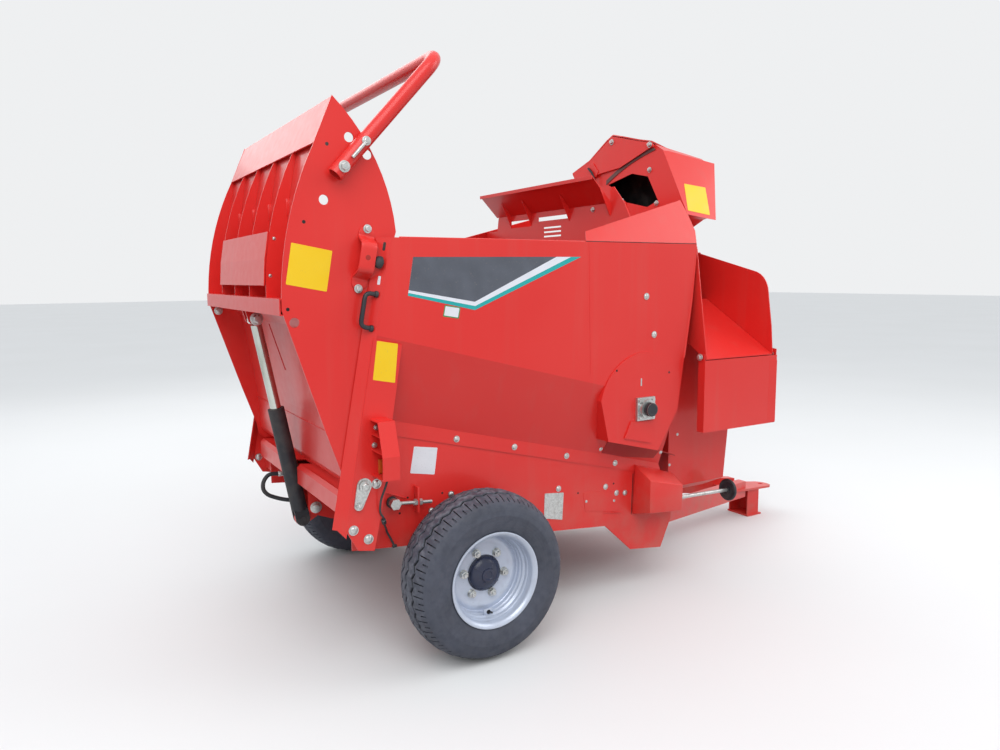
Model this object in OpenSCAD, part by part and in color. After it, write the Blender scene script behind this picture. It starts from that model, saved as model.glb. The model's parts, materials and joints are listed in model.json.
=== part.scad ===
// Trailed bale chopper and straw blower, parked nose-down on its two wheels and drawbar foot.
// Millimetres. X forward, Y to the left, Z up, ground at z = 0. Places along X in this file are
// counted from the wheel axle; at_axle() moves them so that the whole length is centred on x = 0.

/* [Wheels] */
// Outside diameter of the tyre
tyre_d = 740; // [700:10:780]
// Width of the tyre at its sidewalls
tyre_w = 255; // [230:5:280]
// Rubber thickness of the tyre's walls
tyre_wall = 18; // [12:1:24]
// Outside diameter of the rim's flanges
rim_d = 424; // [400:2:440]
// Thickness of the rim's metal
rim_sheet = 6; // [4:1:8]
// Gap between a tyre and the chassis side plate
tyre_gap = 22.5; // [15:0.5:40]
// Circle through the six wheel studs
stud_circle = 205; // [190:1:215]
// Diameter of a wheel stud
stud_d = 18; // [14:1:20]
// Number of tread notches round each shoulder of a tyre
tread_notches = 30; // [20:1:40]
// Side of the square axle tube
axle_tube = 80; // [60:5:100]
// Diameter of the axle's stub that the hub turns on
stub_d = 60; // [50:1:70]

/* [Chassis] */
// Nose-down lean of chassis, bed and drawbar as parked, in degrees
lean = 5.6; // [4:0.1:7]
// Width over the chassis side plates
chassis_w = 1270; // [1240:5:1280]
// Thickness of the chassis side plates
chassis_sheet = 6; // [4:1:8]
// Height of the drawbar's side beams
beam_h = 108; // [90:2:120]
// Width of the drawbar's side beams
beam_w = 60; // [50:2:80]
// Place of the drawbar's tip in front of the axle
nose_x = 2800; // [2700:10:2900]
// Diameter of the hitch pin hole
hitch_d = 35; // [28:1:40]
// Width of the skid foot
foot_w = 180; // [140:5:220]

/* [Body] */
// Overhang of an upper side panel over the chassis side plate
body_overhang = 120; // [110:2:130]
// Height of the upper side panels' top edge
panel_top = 1812; // [1780:2:1840]
// Thickness of the body's sheet metal
sheet = 5; // [3:1:6]
// Downward slope to the front of the bend lines in the sides, in degrees
bend_slope = 14.3; // [13:0.1:15]
// Height of the upper bend line above the axle's place
bend_z = 1313; // [1300:1:1330]
// Breadth of the sloping hopper panel, square to the bend lines
slope_drop = 333; // [320:1:345]
// Breadth of the bolted flange under the hopper panel
seam_flange = 62; // [50:2:75]
// Breadth of a rear post's slanting flange
post_flange = 48; // [42:1:49]

/* [Tailgate] */
// Clearance between a tailgate side plate and the outer face of the body
gate_gap = 55; // [53:1:60]
// Thickness of the tailgate's side plates
gate_side = 6; // [4:1:8]
// Thickness of the tailgate's skin
gate_skin = 4; // [3:1:6]
// Thickness of a rib of the tailgate
rib_t = 5; // [4:1:8]
// Distance between the ribs
rib_pitch = 280; // [260:5:290]
// Diameter of the tailgate's two pivot pins
pivot_d = 40; // [30:1:50]
// Wall of the bale hoop's tube
hoop_wall = 4; // [3:1:6]
// Diameter of the bale hoop's tube
hoop_d = 60; // [50:1:64]
// Rearmost place of the tailgate behind the axle
tail_x = 815; // [810:1:830]

/* [Lift cylinder] */
// Diameter of the sleeved barrel
barrel_d = 76; // [66:1:80]
// Diameter of the chromed rod
rod_d = 50; // [40:1:52]
// Outside diameter of the rod's eye
eye_d = 66; // [60:1:70]
// Width of the rod's eye
eye_w = 44; // [36:1:50]

/* [Rotor and fan] */
// Diameter over the rotor's knives
rotor_d = 500; // [440:5:505]
// Diameter of the rotor's drum
drum_d = 220; // [180:5:260]
// Diameter of the rotor's shaft
rotor_shaft = 50; // [40:1:55]
// Number of knife rows round the rotor
knife_rows = 6; // [4:1:8]
// Diameter over the fan's blades
fan_d = 1120; // [1000:10:1130]
// Number of fan blades
fan_blades = 6; // [4:1:8]
// Diameter of the fan's shaft
fan_shaft = 45; // [35:1:50]
// Depth of the fan housing between its two plates
fan_depth = 495; // [480:5:500]

/* [Outlets] */
// Outer edge of the side outlet from the middle of the machine
outlet_reach = 835; // [820:1:850]
// Height of the side outlet's lower edge, where the flap is hinged
outlet_sill = 1245; // [1235:1:1255]
// Length of the outlet flap
flap_len = 385; // [350:5:420]
// Depth of the outlet flap's turned sides
flap_side = 42; // [34:1:46]

/* [Hidden] */
$fn = 48;
eps = 0.3;
fit = 0.05;
axle_x = (tail_x - nose_x) / 2;
wheel_z = tyre_d / 2;
chassis_y = chassis_w / 2;
body_y = chassis_y + body_overhang;
gate_y = body_y - gate_gap;
// Middle of a tyre from the middle of the machine
wheel_y = chassis_y + tyre_gap + tyre_w / 2;
// Tailgate pivot, lift cylinder's base and rod eye, in the machine's side view
pivot = [-526, 831];
cyl_base = [-562, 500];
cyl_eye = [-741, 1473];
// Rotor and fan axes: place and height
rotor_x = 945;
rotor_z = 1005;
fan_z = 1035;
fan_rear_x = 1285;
fan_front_x = fan_rear_x + fan_depth;
fan_mid_x = fan_rear_x + fan_depth * 0.5;
// Routes of the lift cylinder's hose and of the right lamp's cable
hose_d = 20;
hose_path = [
  [-604, 104, 706], [-628, 104, 706], [-679, 104, 709], [-708, 103, 682], [-714, 101, 643], [-694, 99, 612],
  [-654, 94, 591], [-612, 86, 577], [-570, 80, 569], [-545, 80, 569]
];
hose_end = hose_path[len(hose_path) - 1];
cable_d = 9;
cable_path = [
  [-445, -body_y - 45, 865.4], [-445, -body_y - 45, 845], [-455, -body_y - 35, 805], [-463, -body_y - 21, 765],
  [-463, -body_y - 10, 715], [-450, -body_y - 8, 688], [-440, -body_y + 11, 662], [-418, -chassis_y - 65, 630],
  [-398, -chassis_y - 27, 605], [-385, -chassis_y - 8, 580], [-365, -chassis_y - 6, 540], [-352, -chassis_y - 6, 512]
];

// Basic moves

module at_axle() {
  translate([axle_x, 0, 0]) children();
}

// What is drawn for the left side, mirrored for the right side
module on_side(side) {
  mirror([0, side < 0 ? 1 : 0, 0]) children();
}

// A side-view outline of [x, z] points, as thick as from y0 to y1
module across(outline, y0, y1) {
  translate([0, y1, 0]) rotate([90, 0, 0]) linear_extrude(y1 - y0) polygon(outline);
}

// A rear-view outline of [y, z] points, as long as from x0 to x1
module along(outline, x0, x1) {
  translate([x0, 0, 0]) rotate([90, 0, 90]) linear_extrude(x1 - x0) polygon(outline);
}

// A round bar along Y in the side view
module bar_y(place, d, y0, y1) {
  translate([place[0], y1, place[1]]) rotate([90, 0, 0]) cylinder(h = y1 - y0, d = d);
}

// A round bar along X, place given as [y, z]
module bar_x(place, d, x0, x1) {
  translate([x0, place[0], place[1]]) rotate([0, 90, 0]) cylinder(h = x1 - x0, d = d);
}

// Points of an arc from p to q that rises by sag to the left of the way
function bow(p, q, sag, n = 10) =
  let (
    way = q - p,
    len = norm(way),
    u = way / len,
    v = [-u[1], u[0]],
    r = (len * len / 4 + sag * sag) / (2 * sag),
    half = asin(len / 2 / r),
    centre = (p + q) / 2 - v * (r - sag)
  )
  [for (i = [0:n]) let (a = -half + 2 * half * i / n) centre + v * r * cos(a) + u * r * sin(a)];

// Points of a circle's arc
function ring(centre, r, a0, a1, n = 16) =
  [for (i = [0:n]) let (a = a0 + (a1 - a0) * i / n) centre + r * [cos(a), sin(a)]];

// Height of the bend lines, of the chassis and of the bed at a place along the machine
function bend_at(x) = bend_z - x * tan(bend_slope);
function seam_at(x) = bend_at(x) - slope_drop / cos(bend_slope);
function leaning(x, z0) = z0 - x * tan(lean);

// Wheels

bead_r = rim_d / 2 - 16;
crown_half = 95;
crown_drop = 22;
inner_r = tyre_d / 2 - crown_drop - tyre_wall;
tyre_section = concat(
  [[bead_r, 96]],
  bow([rim_d / 2 + 4, tyre_w / 2 - 14], [tyre_d / 2 - 40, tyre_w / 2 - 8], 10, 6),
  [[tyre_d / 2 - 29, tyre_w / 2 - 17]],
  bow([tyre_d / 2 - crown_drop, crown_half], [tyre_d / 2 - crown_drop, -crown_half], crown_drop, 10),
  [[tyre_d / 2 - 29, 17 - tyre_w / 2]],
  bow([tyre_d / 2 - 40, 8 - tyre_w / 2], [rim_d / 2 + 4, 14 - tyre_w / 2], 10, 6),
  [[bead_r, -96], [bead_r, 34 + tyre_wall - tyre_w / 2], [inner_r, 12 + tyre_wall - tyre_w / 2]],
  [[inner_r, tyre_w / 2 - 12 - tyre_wall], [bead_r, tyre_w / 2 - 34 - tyre_wall]]
);

module tyre(side) {
  notch = 2 * PI * tyre_d / 2 / tread_notches * 0.35;
  color("#24262b") at_axle() on_side(side) translate([0, wheel_y, wheel_z]) rotate([-90, 0, 0])
    difference() {
      rotate_extrude($fn = 72) polygon(tyre_section);
      for (edge = [-1, 1])
        for (i = [0:tread_notches - 1])
          rotate([0, 0, (i + (edge > 0 ? 0.5 : 0)) * 360 / tread_notches])
            translate([tyre_d / 2 - 32, -notch / 2, edge > 0 ? tyre_w / 2 - 40 : -tyre_w / 2 - 10])
              cube([40, notch, 50]);
    }
}

// Outer face of the rim's disc from the middle of the tyre, radius of the rim's well and its disc's hole
disc_y = 9;
well_r = 172;
disc_hole = 161;

module rim(side) {
  seat = rim_d / 2 - 16.3;
  in_seat = seat - rim_sheet;
  color("#c9ccd0") at_axle() on_side(side) translate([0, wheel_y, wheel_z]) rotate([-90, 0, 0])
    difference() {
      union() {
        rotate_extrude() polygon([
          [rim_d / 2, 120], [rim_d / 2, 114], [seat, 104], [seat, 74], [seat - 5, 66], [seat - 5, 58],
          [well_r + rim_sheet, 44], [well_r + rim_sheet, -44],
          [seat - 5, -58], [seat - 5, -66], [seat, -74], [seat, -104], [rim_d / 2, -114], [rim_d / 2, -120],
          [rim_d / 2 - 8, -119], [in_seat, -106], [in_seat, -73], [in_seat - 5, -64], [in_seat - 5, -56],
          [well_r, -42], [well_r, 42],
          [in_seat - 5, 56], [in_seat - 5, 64], [in_seat, 73], [in_seat, 106], [rim_d / 2 - 8, 119]
        ]);
        translate([0, 0, disc_y - 10]) cylinder(h = 10, r = well_r + 1);
      }
      translate([0, 0, disc_y - 15]) cylinder(h = 20, d = disc_hole);
      for (i = [0:5])
        rotate([0, 0, 60 * i + 8]) translate([stud_circle / 2, 0, disc_y - 15]) cylinder(h = 20, d = stud_d + 3);
    }
}

// Hub with its domed grease cap in front of the disc, six studs and their nuts
module hub(side) {
  cap = concat(
    [[0, disc_y - 15], [disc_hole / 2 - 1.5, disc_y - 15], [disc_hole / 2 - 1.5, disc_y + 2], [75, disc_y + 4]],
    bow([75, disc_y + 14], [32, disc_y + 34], -7, 6),
    [[27, disc_y + 40], [0, disc_y + 40]]
  );
  color("#1d1f24") at_axle() on_side(side) translate([0, wheel_y, wheel_z]) rotate([-90, 0, 0])
    difference() {
      union() {
        translate([0, 0, disc_y - 24]) cylinder(h = 14 - eps, d = 250);
        translate([0, 0, -110]) cylinder(h = 105, d = 120);
        rotate_extrude() polygon(cap);
        for (i = [0:5])
          rotate([0, 0, 60 * i + 8]) translate([stud_circle / 2, 0, 0]) {
            translate([0, 0, disc_y - 20]) cylinder(h = 46, d = stud_d);
            translate([0, 0, disc_y + eps]) cylinder(h = 17, d = 30, $fn = 6);
          }
      }
      translate([0, 0, -111]) cylinder(h = 111 + stub_end + 2, d = stub_d + 2 * fit);
    }
}

// Outer end of the axle's stub from the middle of the tyre
stub_end = 24;

module axle() {
  plate = [[-150, 570], [150, 570], [90, wheel_z - 60], [-90, wheel_z - 60]];
  color("#c4161c") at_axle() {
    translate([-axle_tube / 2, 20 - chassis_y, wheel_z - axle_tube / 2])
      cube([axle_tube, 2 * chassis_y - 40, axle_tube]);
    for (side = [-1, 1])
      on_side(side) {
        across(plate, chassis_y - chassis_sheet - 15, chassis_y - chassis_sheet);
        bar_y([0, wheel_z], stub_d, chassis_y - chassis_sheet - 10, wheel_y + stub_end);
      }
  }
}

// Chassis

// Lower edge of the side plate, with the deep pocket under the rotor
chassis_edge = [
  [-540, 524], [-327, 503], [805, 392], [977, 236], [1188, 208], [1257, 358], [1262, 420]
];

module chassis_side(side) {
  color("#d81e22") at_axle() on_side(side)
    across(concat(chassis_edge, [[1160, seam_at(1160)], [-496, seam_at(-496)], [-496, 771], [-540, 777]]),
      chassis_y - chassis_sheet, chassis_y);
}

// Rear channel with the bracket plates and the lug that the lift cylinder's fork turns on
module rear_sill() {
  inner = chassis_y - chassis_sheet;
  channel = [
    [-470, 768], [-575, 782], [-590, 764], [-590, 688], [-440, 655],
    [-440, 661], [-584, 693], [-584, 762], [-572, 776], [-470, 762]
  ];
  bracket = concat(
    [[-545, 700]], ring([-510, 561], 35, 180, 250, 6), [[-400, 479], [-400, 628], [-442, 632], [-442, 658], [-500, 700]]
  );
  lug = concat(
    ring(cyl_base, 34, 60, 300, 14), [[-490, 500], [-450, 600], [-450, 658], [-515, 674], [-515, 560]]
  );
  color("#d81e22") at_axle() {
    difference() {
      across(channel, -inner, inner);
      // Room for the cylinder's barrel
      translate([-700, -cheek_gap / 2, 590]) cube([185, cheek_gap, 210]);
    }
    for (side = [-1, 1])
      on_side(side) across(bracket, cheek_gap / 2, cheek_gap / 2 + 10);
    difference() {
      across(lug, -lug_w / 2, lug_w / 2);
      bar_y(cyl_base, base_pin_d + 2 * fit, -50, 50);
    }
    // Unions that the hose is screwed to
    bar_x([hose_path[0][1], hose_path[0][2]], 26, hose_path[0][0] + eps, -588);
    translate([hose_end[0] + 3 * eps, cheek_gap / 2 + 10, hose_end[2] - 12]) cube([24, 28, 24]);
  }
}

// The slanting line of the rear edge of the body and its post
post_slope = 10.8;
post_tip = [-385, 1812];
function post_at(z) = post_tip[0] - (post_tip[1] - z) * tan(post_slope);
post_step = 6;
// The post's web ends below the upper bend, where the side leaves its plane
function web_top(x) = bend_at(x) - 16;

module rear_post(side) {
  web = [
    [post_at(1390) - 2, web_top(post_at(1390))], [-346, web_top(-346)], [-396, 1081], [-424, 839], [-488, 553],
    [-557, 566], [post_at(655), 655]
  ];
  ends = [
    [-900, 655], [-632, 655], [-557, 566], [-200, 500], [-200, panel_top], [-900, panel_top]
  ];
  color("#d81e22") at_axle() on_side(side) {
    difference() {
      across(web, body_y - sheet, body_y);
      bar_y(pivot, pivot_d + 2 * fit, body_y - 20, body_y + 20);
    }
    // Slanting flange along the whole rear edge
    intersection() {
      translate([post_at(0), 0, 0]) rotate([0, post_slope, 0])
        linear_extrude(2600)
          polygon([[0, body_y], [-40, body_y - post_flange], [-34, body_y - post_flange], [post_step, body_y - sheet],
            [post_step, body_y]]);
      across(ends, body_y - post_flange - 10, body_y + 10);
    }
    // Foot plate that carries the post on the chassis
    across([[-536, 745], [-482, 745], [-492, 590], [-536, 590]], chassis_y, body_y - sheet);
  }
}

// Pivot pin of the tailgate with its keeper plate on the post
module gate_pin(side) {
  color("#b7babd") at_axle() on_side(side) {
    bar_y(pivot, pivot_d, gate_y - gate_side - 8, body_y + 12);
    hull() {
      bar_y(pivot, 62, body_y + eps, body_y + 8);
      bar_y([-551, 752], 38, body_y + eps, body_y + 8);
    }
    bar_y([-551, 752], 26, body_y + 8, body_y + 18);
  }
}

// Body

// Section of a bent side, seen along the bend lines, with z counted from the upper bend
side_section = [
  [body_y, 900], [body_y, 0], [chassis_y + sheet, -slope_drop],
  [chassis_y + sheet, -slope_drop - seam_flange], [chassis_y, -slope_drop - seam_flange],
  [chassis_y, -slope_drop - 1], [body_y - sheet, 1], [body_y - sheet, 900]
];

module along_bend(section) {
  translate([0, 0, bend_z]) rotate([0, bend_slope, 0]) along(section, -1400, 1800);
}

module hopper(side) {
  rear = post_step / cos(post_slope) + eps;
  outline = [
    [post_at(panel_top) + rear, panel_top], [post_at(900) + rear, 900],
    [1158, 560], [1158, 677], [1170, 964], [1257, 1532], [1281, panel_top]
  ];
  color("#e2231f") at_axle() on_side(side)
    difference() {
      intersection() {
        along_bend(side_section);
        across(outline, 500, 900);
      }
      bar_y([rotor_x, rotor_z], 130, 500, 900);
    }
}

// Rear and front end of the bed, heights of its deck and of the pan under it above the axle's place
bed_ends = [-440, 690];
bed_z = 735;
pan_z = 600;

// A sheet of the bed whose top lies at height z above the axle's place
module bed_sheet(z) {
  inner = chassis_y - chassis_sheet;
  across([
    [bed_ends[0], leaning(bed_ends[0], z)], [bed_ends[1], leaning(bed_ends[1], z)],
    [bed_ends[1], leaning(bed_ends[1], z - sheet)], [bed_ends[0], leaning(bed_ends[0], z - sheet)]
  ], -inner, inner);
}

module floor_deck() {
  color("#b9141a") at_axle() {
    bed_sheet(bed_z);
    bed_sheet(pan_z);
  }
}

slat_count = 8;
slat_pitch = 135;

module floor_slats() {
  inner = chassis_y - chassis_sheet - 12;
  color("#7d8084") at_axle() {
    for (y = [-420, 0, 420])
      across([[-420, leaning(-420, bed_z + eps)], [680, leaning(680, bed_z + eps)],
        [680, leaning(680, bed_z + 17)], [-420, leaning(-420, bed_z + 17)]], y - 12, y + 12);
    for (i = [0:slat_count - 1])
      let (x = -380 + i * slat_pitch)
        across([[x, leaning(x, bed_z + 1)], [x + 40, leaning(x + 40, bed_z + 1)],
          [x + 40, leaning(x + 40, bed_z + 35)], [x, leaning(x, bed_z + 35)]], -inner, inner);
  }
}

// Rotor, its trough and its end covers

trough_r = rotor_d / 2 + 14;

module rotor_trough() {
  inner = chassis_y - chassis_sheet;
  centre = [rotor_x, rotor_z];
  low = concat(
    [[692, 672]], ring(centre, trough_r, 240, 300), [[fan_rear_x, 700]],
    [[fan_rear_x, 694]], ring(centre, trough_r + sheet, 300, 240), [[692, 666]]
  );
  high = concat(
    [[wall_x + sheet, 1345]], ring(centre, trough_r + 4, 97, 60), [[fan_rear_x, 1330]],
    [[fan_rear_x, 1337]], ring(centre, trough_r + 4 + sheet, 60, 93), [[wall_x + 2 * sheet, 1345]],
    [[wall_x + 2 * sheet, 1375]], [[wall_x + sheet, 1375]]
  );
  color("#b9141a") at_axle() {
    across(low, -inner, inner);
    across(high, -inner, inner);
  }
}

knife_sets = 9;

module rotor() {
  inner = chassis_y - chassis_sheet;
  color("#8a8d90") at_axle() translate([rotor_x, 0, rotor_z]) rotate([90, 0, 0]) {
    translate([0, 0, -inner + 25]) cylinder(h = 2 * inner - 50, d = drum_d);
    translate([0, 0, -body_y - 45]) cylinder(h = 2 * body_y + 90, d = rotor_shaft);
    for (row = [0:knife_rows - 1])
      for (k = [0:knife_sets - 1])
        rotate([0, 0, row * 360 / knife_rows])
          translate([drum_d / 2 - 8, -30, -540 + k * 120 + (row % 2) * 60])
            cube([(rotor_d - drum_d) / 2 + 8, 60, 12]);
  }
}

cover_r = 278;
cover_outline = concat(
  ring([rotor_x, rotor_z], cover_r, 168, 36, 18),
  [[1185, 1096], [1168, 978], [1040, 780], [720, 862]]
);
cover_hollow = concat(
  ring([rotor_x, rotor_z], cover_r - 5, 168, 37, 18),
  [[1180, 1096], [1162, 978], [1037, 786], [724, 866]]
);

module rotor_cover(side) {
  color("#e2231f") at_axle() on_side(side)
    difference() {
      union() {
        across(cover_outline, body_y + eps, body_y + eps + sheet);
        difference() {
          across(cover_outline, chassis_y + 2, body_y + 2);
          across(cover_hollow, chassis_y, body_y + eps);
        }
      }
      along_bend([[0, 1500], [0, -1500], [chassis_y + sheet + eps, -1500],
        [chassis_y + sheet + eps, -slope_drop], [body_y + eps, 0], [body_y + eps, 1500]]);
      bar_y([rotor_x, rotor_z], rotor_shaft + 10, 500, 900);
    }
}

module rotor_bearing(side) {
  seat = body_y + eps + sheet;
  color("#9a9da0") at_axle() on_side(side)
    translate([rotor_x, seat, rotor_z]) rotate([-90, 0, 0])
      difference() {
        union() {
          translate([-57, -57, 0]) cube([114, 114, 14]);
          cylinder(h = 34, d = 96);
          translate([0, 0, 34]) cylinder(h = 26, d = 66);
        }
        translate([0, 0, -1]) cylinder(h = 46, d = rotor_shaft + 2 * fit);
      }
}

// Front wall of the bale chamber with its deflector hood

wall_x = 900;
// Lower edge, run and rise of the sloping hood on the wall
hood_low = 2018;
hood_run = 122;
hood_rise = 125;

module front_wall() {
  inner = body_y - sheet;
  outline = [
    [-inner, 1290], [-inner, panel_top - 8], [5 - inner, panel_top], [-686, 1936], [-640, 2010], [-560, 2095],
    [-532, 2095], [-532, hood_low], [545, hood_low], [562, 1936], [686, 1936], [inner - 5, panel_top],
    [inner, panel_top - 8], [inner, 1290]
  ];
  color("#e2231f") at_axle() {
    difference() {
      along(outline, wall_x, wall_x + sheet);
      // Openings that show the sky under the hood, and louvres below them
      translate([wall_x - 5, 181, 1945]) cube([20, 220, 40]);
      translate([wall_x - 5, -188, 1967]) cube([20, 300, 22]);
      for (k = [0:2])
        translate([wall_x - 5, -113, 1875 + k * 24]) cube([20, 170, 9]);
    }
    for (y = [-531, -188, 181, 402])
      across([[wall_x, 1950], [wall_x - 70, hood_low + 74], [wall_x, hood_low + 0]], y - 4, y);
  }
}

module deflector_hood() {
  low = [wall_x + sheet, hood_low + eps];
  high = low + [-hood_run, hood_rise];
  up = [2.9, 2.8];
  color("#e2231f") at_axle() {
    across([low, high, high + up, low + up], -530, 572);
    across([high + [0, -16], high + [0, 2], high + [4, 2], high + [4, -16]], -530, 572);
  }
}

shoulder_tilt = 25;

module shoulder(side) {
  color("#e2231f") at_axle() on_side(side)
    translate([0, body_y - 4, panel_top + 0.8]) rotate([shoulder_tilt, 0, 0])
      across([[584, 0], [1284, 0], [1288, 15], [1303, 74], [1289, 162], [1266, 249], [596, 52]], -sheet, 0);
}

module top_deck() {
  inner = body_y - sheet;
  low = fan_roof - 10;
  color("#d81e22") at_axle()
    translate([wall_x + sheet, -inner, low]) cube([fan_rear_x - wall_x - sheet, 2 * inner, sheet]);
}

// Fan housing

// Place of the front plate, which leans with the chassis below the outlet
function front_at(z) = fan_front_x - (z < outlet_sill ? (outlet_sill - z) * tan(lean) : 0);
fan_r = 605;
fan_wall_y = 580;
fan_roof = 1790;
shell_low = fan_z - fan_r;

// The outlet's sloping floor, rising inward from the flap's hinge
ramp_rise = 0.594;
function ramp_at(y) = outlet_sill - 15 + (outlet_reach + y) * ramp_rise;
ramp_in = -355;

// Rear view of the housing: flat right side, round left side
housing = concat(
  [[-fan_wall_y, ramp_at(-fan_wall_y)], [-fan_wall_y, 505], [-430, shell_low]],
  ring([0, fan_z], fan_r, -90, 20, 12),
  bow([fan_r * cos(20), fan_z + fan_r * sin(20)], [200, fan_roof], -90, 8),
  [[-290, fan_roof]]
);
housing_inside = concat(
  [[-fan_wall_y + sheet, ramp_at(-fan_wall_y)], [-fan_wall_y + sheet, 508], [-428, shell_low + sheet]],
  ring([0, fan_z], fan_r - sheet, -90, 20, 12),
  bow([(fan_r - sheet) * cos(20), fan_z + (fan_r - sheet) * sin(20)], [200, fan_roof - sheet], -90, 8),
  [[-290, fan_roof - sheet]]
);

outlet_rear = [
  [-fan_wall_y, ramp_at(-fan_wall_y)], [-290, fan_roof], [-752, fan_roof], [-outlet_reach, outlet_sill],
  [-outlet_reach, ramp_at(-outlet_reach)]
];
outlet_front = concat(
  [[-fan_wall_y, ramp_at(-fan_wall_y)], [-290, fan_roof - 6], [-711, 1674]],
  bow([-711, 1674], [-795, 1560], -22, 5),
  [[-822, 1388], [-outlet_reach, outlet_sill], [-outlet_reach, ramp_at(-outlet_reach)]]
);
flap_pin = [-outlet_reach + 15, outlet_sill];
flap_pin_d = 16;

module fan_rear_plate() {
  color("#e2231f") at_axle() {
    difference() {
      union() {
        along(housing, fan_rear_x, fan_rear_x + sheet);
        along(outlet_rear, fan_rear_x, fan_rear_x + sheet);
      }
      bar_x([0, fan_z], 560, fan_rear_x - 1, fan_rear_x + sheet + 1);
    }
    bar_x(flap_pin, flap_pin_d, fan_rear_x - 28, fan_rear_x + 1);
  }
}

module fan_front_plate() {
  bent = [
    [front_at(shell_low - 20), shell_low - 20], [fan_front_x, outlet_sill], [fan_front_x, 2000],
    [fan_front_x + sheet, 2000], [fan_front_x + sheet, outlet_sill], [front_at(shell_low - 20) + sheet, shell_low - 20]
  ];
  color("#e2231f") at_axle() {
    difference() {
      intersection() {
        across(bent, -1000, 1000);
        union() {
          along(housing, 1600, 1900);
          along(outlet_front, 1600, 1900);
        }
      }
      at_fan_axis() cylinder(h = 600, d = fan_shaft + 30);
    }
    bar_x(flap_pin, flap_pin_d, fan_front_x + sheet - 1, fan_front_x + sheet + 28);
  }
}

module fan_shell() {
  room = [
    [fan_rear_x + sheet, shell_low - 20], [fan_rear_x + sheet, 2000], [fan_front_x, 2000],
    [fan_front_x, outlet_sill], [front_at(shell_low - 20), shell_low - 20]
  ];
  wrap = concat(housing, [for (i = [len(housing_inside) - 1:-1:0]) housing_inside[i]]);
  color("#e2231f") at_axle()
    intersection() {
      along(wrap, fan_rear_x, fan_front_x + 50);
      across(room, -1000, 1000);
    }
}

module outlet_ramp() {
  x0 = fan_rear_x + sheet;
  x1 = front_at(ramp_at(-outlet_reach)) - eps;
  color("#e2231f") at_axle()
    along([[-outlet_reach, ramp_at(-outlet_reach) + eps], [ramp_in, ramp_at(ramp_in) + eps],
      [ramp_in, ramp_at(ramp_in) + eps + sheet], [-outlet_reach, ramp_at(-outlet_reach) + eps + sheet]], x0, x1);
}

// The fan's axis leans with the chassis; z runs along it to the front
module at_fan_axis() {
  translate([fan_mid_x, 0, fan_z]) rotate([0, 90 + lean, 0]) children();
}

module fan() {
  reach = (fan_front_x - fan_mid_x) - (outlet_sill - fan_z) * tan(lean);
  color("#8a8d90") at_axle() at_fan_axis() {
    translate([0, 0, -150]) cylinder(h = reach + 150 + 60, d = fan_shaft);
    translate([0, 0, -100]) cylinder(h = 180, d = 200);
    translate([0, 0, 76]) cylinder(h = 6, d = 900);
    for (i = [0:fan_blades - 1])
      rotate([0, 0, i * 360 / fan_blades])
        translate([80, -5, -170]) cube([fan_d / 2 - 80, 10, 300]);
  }
}

module gearbox() {
  reach = (fan_front_x + sheet - fan_mid_x) * cos(lean) - (outlet_sill - fan_z) * sin(lean);
  color("#3a3d42") at_axle() at_fan_axis()
    difference() {
      union() {
        translate([-130, -110, reach + eps]) cube([260, 220, 150]);
        translate([60, 0, reach + 150]) cylinder(h = 40, d = 110);
        translate([60, 0, reach + 190]) cylinder(h = 80, d = 35);
      }
      translate([0, 0, reach - 1]) cylinder(h = 72, d = fan_shaft + 2 * fit);
    }
}

module outlet_flap() {
  x0 = fan_rear_x - 20;
  x1 = fan_front_x + sheet + 20;
  y = -outlet_reach - 8;
  top = outlet_sill - 17;
  color("#e2231f") at_axle() {
    translate([x0, y - sheet, outlet_sill - flap_len]) cube([x1 - x0, sheet, flap_len - 17]);
    for (x = [x0, x1 - sheet])
      difference() {
        translate([x, y - 1, outlet_sill - flap_len]) cube([sheet, flap_side, flap_len + 16]);
        bar_x(flap_pin, flap_pin_d + 2 * fit, x - 1, x + sheet + 1);
      }
  }
}

// Top chute

chute_x0 = fan_rear_x + 10;
chute_front = chute_x0 + 185;
hood_pin = [-402, 2350];
hood_pin_d = 14;
// Downward slope to the front of the duct's top edge and of the hood's roof
chute_fall = 8.5;
hood_fall = 15;

// Leans what is drawn down to the front, about its line over the duct's rear plate
module falling(angle) {
  translate([chute_x0, 0, hood_pin[1]]) rotate([0, angle, 0]) translate([-chute_x0, 0, -hood_pin[1]]) children();
}

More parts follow.
